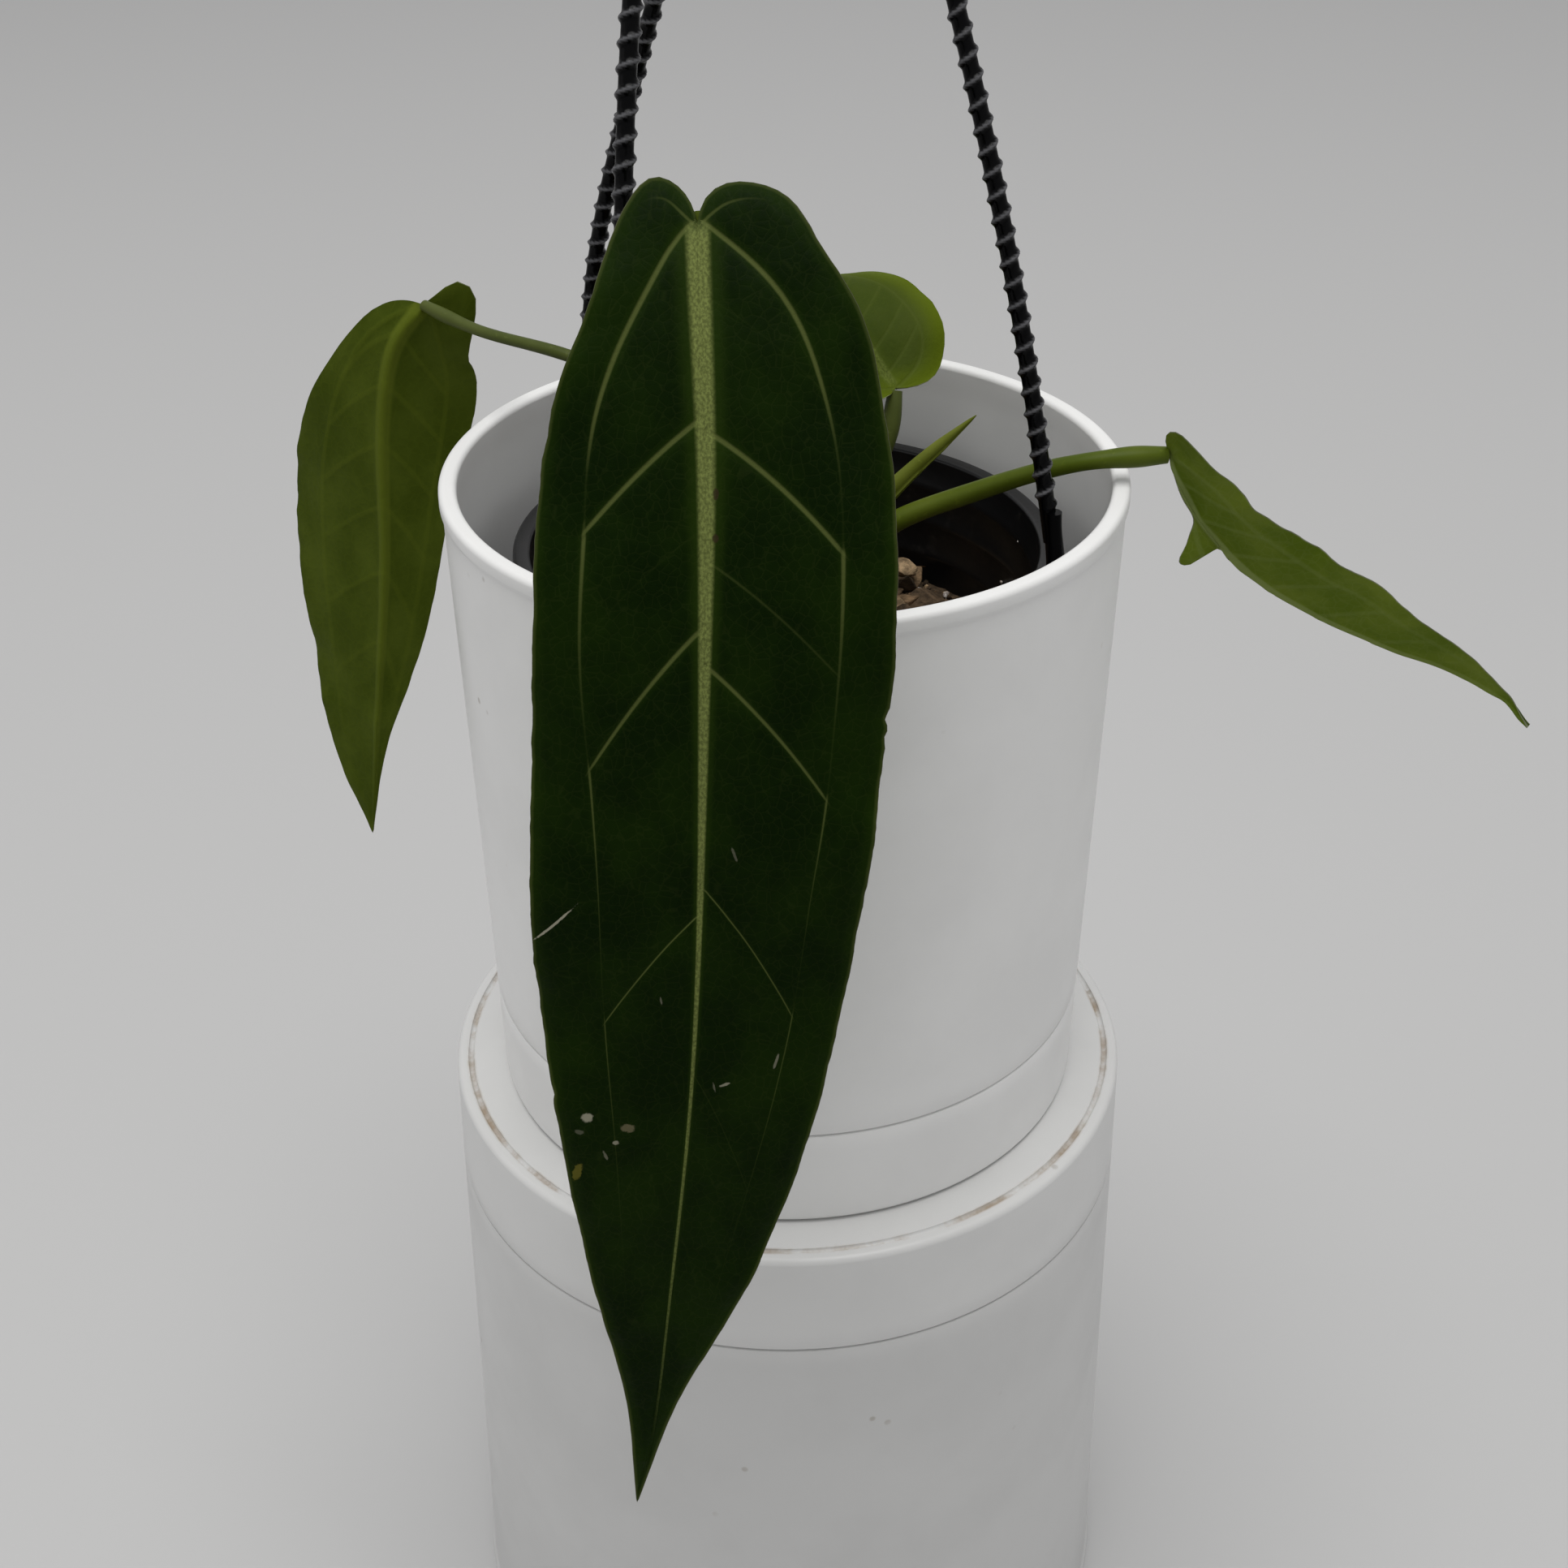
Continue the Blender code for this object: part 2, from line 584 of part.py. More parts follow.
# ---- hanger ----
def strand_points(turn, bow, skew):
    """A strand's centre line from its clip to the collar, bowed out sideways."""
    foot_r = NURSERY_RIM_R + GAP + STRAND_R
    out = Vector((math.cos(turn), math.sin(turn), 0.0))
    low = Vector((0, 0, NURSERY_TOP + 0.0010)) + out * foot_r
    high = Vector((*HANGER_LEAN, COLLAR_Z - GAP - STRAND_R * 0.5)) + out * STRAND_MEET_R
    points = []
    for i in range(7):
        t = i / 6
        points.append(low.lerp(high, t) + out * ((bow + skew * t) * 4 * t * (1 - t)))
    return points


def clip_mesh(turn):
    """The flared tab below a strand, outside the nursery rim, with a barb under the lip."""
    inner = NURSERY_RIM_R + GAP
    outer = inner + CLIP_T
    top = NURSERY_TOP + 0.0042
    foot = NURSERY_TOP - CLIP_L
    barb = NURSERY_TOP - NURSERY_LIP_H - GAP
    section = [(inner, top), (outer + 0.0012, top), (outer, barb), (outer - 0.0008, foot), (inner, foot)]
    section += [(inner - 0.0012, barb - 0.0022), (inner - 0.0012, barb), (inner, barb)]
    work = bmesh.new()
    rings = []
    for edge in (-0.5, 0.5):
        ring = []
        for r, z in section:
            share = (top - z) / (top - foot)
            width = CLIP_TOP_W * (1 - share) + CLIP_FOOT_W * share
            ring.append(work.verts.new((r, edge * width, z)))
        rings.append(ring)
    count = len(section)
    work.faces.new(rings[0])
    work.faces.new(rings[1][::-1])
    for i in range(count):
        k = (i + 1) % count
        work.faces.new((rings[0][k], rings[0][i], rings[1][i], rings[1][k]))
    bmesh.ops.recalc_face_normals(work, faces=work.faces)
    work.transform(Matrix.Rotation(turn, 4, "Z"))
    mesh = bpy.data.meshes.new("clip")
    work.to_mesh(mesh)
    work.free()
    return mesh


def hanger():
    for name, degrees, bow, skew in zip(STRAND_NAMES, STRAND_TURNS, STRAND_BOWS, STRAND_SKEWS):
        turn = math.radians(degrees)
        points = strand_points(turn, bow, skew)
        strand = as_mesh(tube(f"hanger_strand_{name}", points, (STRAND_R, STRAND_R), BLACK, 22))
        clip = bpy.data.objects.new(f"clip_{name}", clip_mesh(turn))
        cutters.objects.link(clip)
        clip.parent = root
        clip.hide_render = True
        clip.display_type = "WIRE"
        join = strand.modifiers.new("clip", "BOOLEAN")
        join.operation = "UNION"
        join.object = clip
    section = [(0.0, COLLAR_H), (COLLAR_R * 0.5, COLLAR_H), (COLLAR_R * 0.8, COLLAR_H * 0.8)]
    section += [(COLLAR_R, COLLAR_H * 0.3), (COLLAR_R * 0.85, 0.0), (0.0, 0.0)]
    collar = turned("hanger_collar", section, BLACK, steps=20)
    collar.location = (*HANGER_LEAN, COLLAR_Z)
    base = Vector((*HANGER_LEAN, COLLAR_Z + COLLAR_H + GAP))
    centre = base + Vector((0, 0, HOOK_SHANK + HOOK_BEND_R))
    points = [base, base + Vector((0, 0, HOOK_SHANK * 0.5))]
    for degrees in range(-90, 136, 25):
        a = math.radians(degrees)
        points.append(centre + Vector((math.cos(a), 0, math.sin(a))) * HOOK_BEND_R)
    tube("hanger_hook", points, (HOOK_WIRE_R, HOOK_WIRE_R), BLACK, 26)


# ---- loose pieces on the mix ----
def chip_mesh(name, size, rng):
    """An irregular broken chip: a jittered block with worn edges."""
    work = bmesh.new()
    bmesh.ops.create_cube(work, size=1.0)
    for vert in work.verts:
        vert.co.x *= size[0] * rng.uniform(0.7, 1.0)
        vert.co.y *= size[1] * rng.uniform(0.7, 1.0)
        vert.co.z *= size[2] * rng.uniform(0.7, 1.0)
    bmesh.ops.bevel(work, geom=work.edges[:], offset=min(size) * 0.2, segments=1, affect="EDGES")
    mesh = bpy.data.meshes.new(name)
    work.to_mesh(mesh)
    work.free()
    return mesh


def lay_chip(name, size, look, place, base_z, rng):
    """Lays a chip at a random tilt with its lowest point just above base_z."""
    made = add_object(name, chip_mesh(name, size, rng), look)
    tilt = Euler((rng.uniform(-0.25, 0.25), rng.uniform(-0.25, 0.25), rng.uniform(0, 6.28)))
    turned_points = [tilt.to_matrix() @ v.co for v in made.data.vertices]
    made.rotation_euler = tilt
    made.location = (*place, base_z + GAP - min(p.z for p in turned_points))


def loose_pieces():
    """Two rings of bark chips round the crown, and perlite between them. They share out the bed."""
    rng = random.Random(CHIP_SEED)
    reach = nursery_inner(MIX_TOP)
    bed = reach - CROWN_REACH
    rings = ((reach - 0.31 * bed, 9, 0.3), (reach - 0.70 * bed, 6, 0.0))
    number = 0
    for radius, count, lead in rings:
        for i in range(count):
            turn = 2 * math.pi * (i + lead) / count
            place = (radius * math.cos(turn), radius * math.sin(turn))
            length = rng.uniform(0.30, 0.40) * bed
            size = (length, rng.uniform(0.18, 0.25) * bed, rng.uniform(0.003, 0.005))
            number += 1
            lay_chip(f"bark_chip_{number:02d}", size, BARK, place, MIX_TOP, rng)
    grains = ((0.90, 28), (0.86, 205), (0.50, 248), (0.50, 352))
    for i, (share, degrees) in enumerate(grains):
        radius = reach - share * bed
        turn = math.radians(degrees)
        place = (radius * math.cos(turn), radius * math.sin(turn))
        size = [rng.uniform(0.09, 0.12) * bed for _ in range(3)]
        lay_chip(f"perlite_{i + 1}", size, PERLITE, place, MIX_TOP, rng)


white_pots()
nursery_pot()
potting_mix()
crown()
for side, leaf in LEAVES.items():
    leaf_blade(f"leaf_{side}", leaf, YOUNG_LEAF if side == "back" else DARK_LEAF)
    petiole(f"petiole_{side}", leaf, PETIOLES[side], PETIOLE_RADII[side], JOINT_CLEAR[side])
new_leaf()
hanger()
loose_pieces()


def stand_over_origin():
    """Shifts the root so that the middle of the whole bounding box is over x = y = 0."""
    bpy.context.view_layer.update()
    graph = bpy.context.evaluated_depsgraph_get()
    lows, highs = [], []
    for made in plant_parts.objects:
        if made.type == "EMPTY":
            continue
        shape = made.evaluated_get(graph)
        mesh = shape.to_mesh()
        points = np.array([shape.matrix_world @ v.co for v in mesh.vertices])
        shape.to_mesh_clear()
        lows.append(points.min(axis=0))
        highs.append(points.max(axis=0))
    middle = (np.min(lows, axis=0) + np.max(highs, axis=0)) / 2
    root.location = (-middle[0], -middle[1], 0.0)


stand_over_origin()
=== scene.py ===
"""Potted anthurium: the visual model and studio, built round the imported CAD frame."""

import math
import random

import bmesh
import bpy
import numpy as np
from mathutils import Matrix, Vector, noise


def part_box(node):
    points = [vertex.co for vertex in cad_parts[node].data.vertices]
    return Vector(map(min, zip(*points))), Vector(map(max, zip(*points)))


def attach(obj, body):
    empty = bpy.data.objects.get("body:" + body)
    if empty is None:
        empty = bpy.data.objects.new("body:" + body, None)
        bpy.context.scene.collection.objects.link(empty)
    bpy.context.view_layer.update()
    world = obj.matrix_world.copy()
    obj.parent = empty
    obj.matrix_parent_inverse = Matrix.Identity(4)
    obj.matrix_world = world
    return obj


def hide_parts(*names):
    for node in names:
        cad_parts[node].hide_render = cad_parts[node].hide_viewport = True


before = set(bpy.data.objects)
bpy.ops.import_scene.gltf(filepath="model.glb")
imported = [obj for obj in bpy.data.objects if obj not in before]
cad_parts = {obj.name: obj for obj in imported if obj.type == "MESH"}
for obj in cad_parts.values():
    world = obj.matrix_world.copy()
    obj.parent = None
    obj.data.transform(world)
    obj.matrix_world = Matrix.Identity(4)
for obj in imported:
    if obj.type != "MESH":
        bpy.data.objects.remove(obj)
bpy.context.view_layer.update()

MM = 0.001

# ---- places read from the frame ----
COVER_LOW, COVER_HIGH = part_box("cover_pot")
RISER_LOW, RISER_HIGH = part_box("riser_pot")
NURSERY_LOW, NURSERY_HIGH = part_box("nursery_pot")
AXIS = Vector(((COVER_LOW.x + COVER_HIGH.x) / 2, (COVER_LOW.y + COVER_HIGH.y) / 2, 0.0))
COVER_TOP = COVER_HIGH.z
COVER_R = (COVER_HIGH.x - COVER_LOW.x) / 2
RISER_R = (RISER_HIGH.x - RISER_LOW.x) / 2
RISER_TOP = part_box("riser_pot_saucer")[1].z
NURSERY_TOP = NURSERY_HIGH.z
NURSERY_R = (NURSERY_HIGH.x - NURSERY_LOW.x) / 2
MIX_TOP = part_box("potting_mix")[1].z
RIM = AXIS + Vector((0.0, 0.0, COVER_TOP))

# ---- sizes shared by the white pots ----
SEAM_GAP = 0.0003
POT_WALL = 0.0030
SAUCER_WALL = 0.0024
RIM_W = 0.0039
RIM_PROUD = 0.0005
RIM_LAND = 0.0013
GROOVE_IN = 0.0027
GROOVE_W = 0.0014
COVER_FOOT_R = 0.0692
COVER_SEAM = 0.0248
RISER_FOOT_R = 0.0813
RISER_SEAM = 0.0264
ROUND_STEPS = 176


# ---- mesh helpers ----
def add_piece(name, points, faces, looks, face_looks, angle, stands_for):
    """A mesh piece in the frame's metres that rides on the one body."""
    mesh = bpy.data.meshes.new(name)
    mesh.from_pydata([tuple(p) for p in points], [], [tuple(int(i) for i in f) for f in faces])
    mesh.validate()
    for look in looks:
        mesh.materials.append(look)
    if face_looks is not None:
        mesh.polygons.foreach_set("material_index", np.asarray(face_looks, np.int32))
    mesh.shade_smooth()
    mesh.set_sharp_from_angle(angle=math.radians(angle))
    made = bpy.data.objects.new(name, mesh)
    bpy.context.scene.collection.objects.link(made)
    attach(made, "root")
    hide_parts(*stands_for)
    return made


def set_attribute(made, name, values):
    """A number for each point of a piece, for its material to read."""
    values = np.asarray(values, np.float32)
    kind = "FLOAT" if values.ndim == 1 else "FLOAT_VECTOR"
    data = made.data.attributes.new(name, kind, "POINT").data
    data.foreach_set("value" if values.ndim == 1 else "vector", values.reshape(-1))


class Parts:
    """Gathers several shapes into one mesh, with one number for each shape."""

    def __init__(self):
        self.points, self.faces, self.tones = [], [], []

    def add(self, points, faces, tone=0.0):
        start = len(self.points)
        self.points.extend(points)
        self.faces.extend([[i + start for i in face] for face in faces])
        self.tones.extend([tone] * len(points))


def lathe(profile, steps=ROUND_STEPS, centre=None):
    """Points and faces of a profile turned about the pots' axis, running down its outer side."""
    centre = AXIS if centre is None else centre
    rings, points, faces = [], [], []
    turns = [2 * math.pi * i / steps for i in range(steps)]
    for r, z in profile:
        if r < 1e-6:
            rings.append([len(points)] * steps)
            points.append((centre.x, centre.y, z))
            continue
        rings.append(list(range(len(points), len(points) + steps)))
        points.extend((centre.x + r * math.cos(a), centre.y + r * math.sin(a), z) for a in turns)
    for upper, lower in zip(rings, rings[1:]):
        for i in range(steps):
            k = (i + 1) % steps
            face = [upper[i], lower[i], lower[k], upper[k]]
            if upper[i] == upper[k]:
                face = face[:3]
            elif lower[i] == lower[k]:
                face = [upper[i], lower[i], upper[k]]
            faces.append(face)
    return points, faces


def arc(centre, radius, start, end, count):
    turns = [math.radians(start + (end - start) * i / count) for i in range(count + 1)]
    return [(centre[0] + radius * math.cos(a), centre[1] + radius * math.sin(a)) for a in turns]


def spline(knots, values, at):
    """Natural cubic spline through values at knots, read at the given places."""
    knots, values, at = (np.asarray(a, float) for a in (knots, values, at))
    n = len(knots)
    step = np.diff(knots)
    system = np.eye(n)
    right = np.zeros((n,) + values.shape[1:])
    for i in range(1, n - 1):
        system[i, i - 1 : i + 2] = step[i - 1], 2 * (step[i - 1] + step[i]), step[i]
        rise = (values[i + 1] - values[i]) / step[i] - (values[i] - values[i - 1]) / step[i - 1]
        right[i] = 6 * rise
    bend = np.linalg.solve(system, right)
    k = np.clip(np.searchsorted(knots, at) - 1, 0, n - 2)
    h = step[k]
    a, b = (knots[k + 1] - at) / h, (at - knots[k]) / h
    if values.ndim > 1:
        a, b, h = a[..., None], b[..., None], h[..., None]
    curve = ((a**3 - a) * bend[k] + (b**3 - b) * bend[k + 1]) * h**2 / 6
    return a * values[k] + b * values[k + 1] + curve


def along(points):
    steps = np.linalg.norm(np.diff(np.asarray(points, float), axis=0), axis=1)
    return np.concatenate([[0.0], np.cumsum(steps)])


def smooth_path(points, count):
    places = along(points)
    return spline(places, points, np.linspace(0, places[-1], count))


def smoothstep(low, high, value):
    t = np.clip((np.asarray(value, float) - low) / (high - low), 0, 1)
    return t * t * (3 - 2 * t)


def tube_faces(rings, sides):
    """The faces between each ring of points and the next."""
    faces = []
    for i in range(rings - 1):
        for j in range(sides):
            k = (j + 1) % sides
            a, b = i * sides, (i + 1) * sides
            faces.append([a + j, a + k, b + k, b + j])
    return faces


def sweep(path, radius, sides):
    """A tube along a path. radius(place, turn) gives its radius in metres for each length and angle."""
    path = np.asarray(path, float)
    places = along(path)
    forward = np.gradient(path, axis=0)
    forward /= np.linalg.norm(forward, axis=1)[:, None]
    frames, side = [], np.cross(forward[0], (0.0, 0.0, 1.0))
    if np.linalg.norm(side) < 0.1:
        side = np.cross(forward[0], (1.0, 0.0, 0.0))
    for f in forward:
        side = side - f * side.dot(f)
        side = side / np.linalg.norm(side)
        frames.append((side, np.cross(side, f)))
    turns = 2 * np.pi * np.arange(sides) / sides
    points = []
    for i, (side, over) in enumerate(frames):
        r = radius(places[i], turns)
        ring = path[i] + np.outer(np.cos(turns) * r, side) + np.outer(np.sin(turns) * r, over)
        points.extend(ring.tolist())
    faces = tube_faces(len(path), sides)
    faces.append(list(range(sides))[::-1])
    faces.append([(len(path) - 1) * sides + j for j in range(sides)])
    return points, faces


# ---- materials ----
class Look:
    """A Principled material with short calls for its nodes."""

    def __init__(self, name, colour, roughness, **more):
        self.material = bpy.data.materials.new(name)
        self.material.use_nodes = True
        self.nodes = self.material.node_tree.nodes
        self.links = self.material.node_tree.links
        self.shader = self.nodes["Principled BSDF"]
        self.set("Base Color", (*colour, 1.0))
        self.set("Roughness", roughness)
        for socket, value in more.items():
            self.set(socket.replace("_", " "), value)

    def set(self, socket, value):
        self.shader.inputs[socket].default_value = value

    def drive(self, socket, source):
        self.links.new(source, self.shader.inputs[socket])

    def node(self, kind, inputs=(), **settings):
        made = self.nodes.new(kind)
        for name, value in settings.items():
            setattr(made, name, value)
        for socket, value in dict(inputs).items():
            if isinstance(value, bpy.types.NodeSocket):
                self.links.new(value, made.inputs[socket])
            else:
                made.inputs[socket].default_value = value
        return made

    def place(self):
        return self.node("ShaderNodeTexCoord").outputs["Object"]

    def attribute(self, name, vector=False):
        made = self.node("ShaderNodeAttribute", attribute_name=name)
        return made.outputs["Vector" if vector else "Fac"]

    def math(self, operation, a, b=0.0):
        return self.node("ShaderNodeMath", {0: a, 1: b}, operation=operation).outputs[0]

    def times(self, a, b):
        return self.math("MULTIPLY", a, b)

    def scaled(self, vector, by):
        return self.node("ShaderNodeVectorMath", {0: vector, 1: by}, operation="MULTIPLY").outputs[0]

    def noise(self, vector, scale, detail=3.0, roughness=0.55):
        inputs = {"Vector": vector, "Scale": scale, "Detail": detail, "Roughness": roughness}
        return self.node("ShaderNodeTexNoise", inputs).outputs["Fac"]

    def cells(self, vector, scale, feature="DISTANCE_TO_EDGE"):
        inputs = {"Vector": vector, "Scale": scale}
        return self.node("ShaderNodeTexVoronoi", inputs, feature=feature).outputs["Distance"]

    def fade(self, value, low, high, to_low=0.0, to_high=1.0):
        inputs = {0: value, 1: low, 2: high, 3: to_low, 4: to_high}
        return self.node("ShaderNodeMapRange", inputs, interpolation_type="SMOOTHSTEP").outputs[0]

    def mix(self, share, a, b):
        made = self.node("ShaderNodeMix", data_type="RGBA")
        for index, value in ((0, share), (6, a), (7, b)):
            if isinstance(value, bpy.types.NodeSocket):
                self.links.new(value, made.inputs[index])
            else:
                made.inputs[index].default_value = value if index == 0 else (*value, 1.0)
        return made.outputs[2]

    def bump(self, height, distance, strength, normal=None):
        inputs = {"Height": height, "Distance": distance, "Strength": strength}
        if normal is not None:
            inputs["Normal"] = normal
        return self.node("ShaderNodeBump", inputs).outputs["Normal"]


def radius_from_axis(look, place):
    """The distance of a shaded point from the pots' axis."""
    split = look.node("ShaderNodeSeparateXYZ", {0: place})
    x = look.math("SUBTRACT", split.outputs[0], AXIS.x)
    y = look.math("SUBTRACT", split.outputs[1], AXIS.y)
    total = look.math("ADD", look.times(x, x), look.times(y, y))
    return look.math("SQRT", total), split.outputs[2]


def white_plastic(name, tone=1.0, groove_r=None, groove_z=0.0, grime=0.0):
    """Satin white plastic with faint mottling, a few dirt specks and dust in a groove; a tone below 1
    darkens the whole white as painted shade.
    """
    look = Look(name, (0.80, 0.80, 0.785), 0.36, Specular_IOR_Level=0.45)
    place = look.place()
    cloudy = look.noise(place, 26.0, 4.0)
    # tone scales both mottling colours; below 1 it is painted shade, a darker copy of the same white.
    pale, dull = [c * tone for c in (0.815, 0.815, 0.808)], [c * tone for c in (0.775, 0.775, 0.768)]
    body = look.mix(look.fade(cloudy, 0.35, 0.7), pale, dull)
    pock = look.cells(place, 120.0, "F1")
    where = look.fade(look.noise(place, 34.0, 2.0), 0.60, 0.68)
    speck = look.times(look.fade(pock, 0.13, 0.06), where)
    body = look.mix(look.times(speck, 0.55), body, (0.30, 0.26, 0.21))
    if groove_r is not None:
        r, z = radius_from_axis(look, place)
        off = look.math("ABSOLUTE", look.math("SUBTRACT", r, groove_r))
        near = look.fade(off, 0.0013, 0.0003)
        flat = look.fade(look.math("ABSOLUTE", look.math("SUBTRACT", z, groove_z)), 0.0016, 0.0009)
        patchy = look.fade(look.noise(place, 62.0, 5.0, 0.7), 0.36, 0.62)
        dirt = look.times(look.times(near, flat), patchy)
        body = look.mix(look.times(dirt, grime), body, (0.34, 0.25, 0.16))
    look.drive("Base Color", body)
    look.drive("Roughness", look.fade(cloudy, 0.3, 0.75, 0.31, 0.43))
    peel = look.noise(place, 900.0, 2.0)
    look.drive("Normal", look.bump(peel, 0.00003, 0.5))
    return look.material


def black_plastic():
    """Thin moulded black plastic, a little dusty."""
    look = Look("nursery_black", (0.005, 0.005, 0.006), 0.36, Specular_IOR_Level=0.35)
    place = look.place()
    dust = look.fade(look.noise(place, 120.0, 6.0, 0.7), 0.56, 0.78)
    look.drive("Base Color", look.mix(dust, (0.0045, 0.0045, 0.005), (0.030, 0.027, 0.024)))
    look.drive("Roughness", look.fade(dust, 0.0, 1.0, 0.32, 0.62))
    look.drive("Normal", look.bump(look.noise(place, 700.0, 3.0), 0.00004, 0.6))
    return look.material


def strand_plastic():
    """Glossier black plastic of the hanger, with a painted highlight along the crest of its raised thread.
    """
    look = Look("hanger_black", (0.002, 0.002, 0.002), 0.22, Specular_IOR_Level=0.10)
    place = look.place()
    # Noise for wear in the roughness; it also makes the painted highlight on the thread's crest patchy.
    wear_and_glint = look.fade(look.noise(place, 240.0, 4.0), 0.5, 0.75)
    # Painted highlight: the thread's crest is mixed to light grey, standing in for glints on the black
    # plastic.
    crest_highlight = look.times(look.attribute("crest_highlight"), look.fade(wear_and_glint, 0.0, 1.0, 0.75, 1.0))
    look.drive("Base Color", look.mix(crest_highlight, (0.0010, 0.0010, 0.0013), (0.16, 0.16, 0.17)))
    look.drive("Roughness", look.fade(wear_and_glint, 0.0, 1.0, 0.20, 0.36))
    look.drive("Normal", look.bump(look.noise(place, 1200.0, 2.0), 0.00003, 0.5))
    return look.material


def bark_look():
    """Fir bark and crumbs: each chip has its own tone, from dark brown to tan, with a grain."""
    look = Look("bark_mix", (0.1, 0.06, 0.035), 0.86, Specular_IOR_Level=0.25)
    place = look.place()
    tone = look.attribute("tone")
    grain = look.noise(look.scaled(place, (1.0, 1.0, 3.5)), 330.0, 6.0, 0.7)
    dark = look.mix(look.fade(tone, 0.0, 0.55), (0.060, 0.042, 0.026), (0.190, 0.125, 0.070))
    warm = look.mix(look.fade(tone, 0.5, 1.0), dark, (0.48, 0.35, 0.21))
    shade = look.mix(look.fade(grain, 0.36, 0.66), (0.5, 0.48, 0.45), (1.6, 1.55, 1.5))
    made = look.node("ShaderNodeMix", data_type="RGBA", blend_type="MULTIPLY")
    made.inputs[0].default_value = 1.0
    look.links.new(warm, made.inputs[6])
    look.links.new(shade, made.inputs[7])
    look.drive("Base Color", made.outputs[2])
    look.drive("Normal", look.bump(grain, 0.0005, 0.8))
    return look.material


def perlite_look():
    look = Look("perlite_white", (0.70, 0.66, 0.62), 0.85)
    place = look.place()
    pits = look.noise(place, 900.0, 4.0, 0.7)
    look.drive("Base Color", look.mix(look.fade(pits, 0.4, 0.65), (0.36, 0.30, 0.26), (0.78, 0.73, 0.69)))
    look.drive("Normal", look.bump(pits, 0.0004, 0.8))
    return look.material


EDGE_SHARE = 0.30  # how much of the vein's colour the very edge of a blade takes on
VEINS_THIN_MM = (60.0, 120.0)  # where along a blade its side veins grow thinner


def leaf_upper(name, dark, mid, vein, vein_width, halo, vein_share, marks=(),
               margin=(0.02, 0.04, 0.002), margin_zone=3.0, margin_share=0.2):
    """The upper side of a blade: dark velvet between pale veins, with a faint fine net."""
    look = Look(name, mid, 0.6, Specular_IOR_Level=0.03)
    flat = look.attribute("flat", vector=True)
    split = look.node("ShaderNodeSeparateXYZ", {0: flat})
    across = look.math("ABSOLUTE", split.outputs[0])
    cloud = look.noise(look.scaled(flat, (1.0, 0.7, 1.0)), 0.055, 4.0, 0.6)
    fine = look.noise(flat, 0.9, 3.0, 0.6)
    ground = look.mix(look.fade(cloud, 0.38, 0.66), dark, mid)
    ground = look.mix(look.times(look.fade(fine, 0.45, 0.75), 0.35), ground, mid)
    net = look.times(look.fade(look.cells(flat, 0.55), 0.06, 0.0), 0.035)
    ground = look.mix(net, ground, vein)
    depth = look.attribute("quilt")
    ground = look.mix(look.times(look.fade(depth, 0.55, 0.0), 0.30), ground, mid)
    edge = look.attribute("edge")
    ground = look.mix(look.fade(edge, 0.7, 0.1, 0.0, EDGE_SHARE), ground, vein)
    ground = look.mix(look.fade(edge, margin_zone, 0.0, 0.0, margin_share), ground, margin)
    rib = look.attribute("rib")
    glow = look.times(look.fade(look.math("DIVIDE", across, rib), 2.6, 0.9), 0.60)
    glow = look.times(glow, look.attribute("spine"))
    ground = look.mix(glow, ground, halo)
    cores = []
    fine_width = look.fade(split.outputs[1], *VEINS_THIN_MM, vein_width, vein_width * 0.42)
    for line, strength in (("arch", "arch_power"), ("rung", "rung_power")):
        power = look.attribute(strength)
        width = look.math("ADD", look.times(power, 0.7), 0.3)
        width = look.times(width, fine_width)
        off = look.math("DIVIDE", look.math("ABSOLUTE", look.attribute(line)), width)
        haze = look.times(look.fade(off, 3.4, 0.6), power)
        ground = look.mix(look.times(haze, 0.26), ground, halo)
        core = look.times(look.fade(off, 1.25, 0.30), look.fade(power, 0.0, 0.9))
        ground = look.mix(look.times(core, vein_share), ground, vein)
        cores.append(core)
    core = look.math("MAXIMUM", *cores)
    spine = look.fade(look.math("DIVIDE", across, rib), 1.15, 0.55)
    speckle = look.noise(look.scaled(flat, (1.0, 0.7, 1.0)), 2.2, 3.0, 0.6)
    pale = look.mix(look.fade(speckle, 0.36, 0.66), [c * 0.95 for c in vein], [c * 1.75 for c in vein])
    ground = look.mix(look.times(spine, look.attribute("spine")), ground, pale)
    for s, w, r_s, r_w, turn, tint, strength in marks:
        away = look.node("ShaderNodeVectorMath", {0: flat, 1: (w, s, 0.0)}, operation="SUBTRACT")
        rotation = {"Vector": away.outputs[0], "Angle": math.radians(turn)}
        turned = look.node("ShaderNodeVectorRotate", rotation, rotation_type="Z_AXIS")
        stretched = look.scaled(turned.outputs[0], (1.0 / r_w, 1.0 / r_s, 1.0))
        far = look.node("ShaderNodeVectorMath", {0: stretched}, operation="LENGTH").outputs["Value"]
        ragged = look.math("ADD", far, look.times(look.noise(flat, 1.1, 4.0, 0.7), 1.3))
        ground = look.mix(look.times(look.fade(ragged, 1.75, 1.35), strength), ground, tint)
    look.drive("Base Color", ground)
    look.drive("Roughness", look.fade(fine, 0.3, 0.8, 0.48, 0.64))
    grain = look.bump(look.noise(flat, 3.2, 3.0, 0.65), 0.00007, 0.6)
    small = look.bump(look.fade(look.cells(flat, 0.55), 0.0, 0.3), 0.00006, 0.4, grain)
    look.drive("Normal", look.bump(look.times(core, -1.0), 0.00010, 0.8, small))
    return look.material


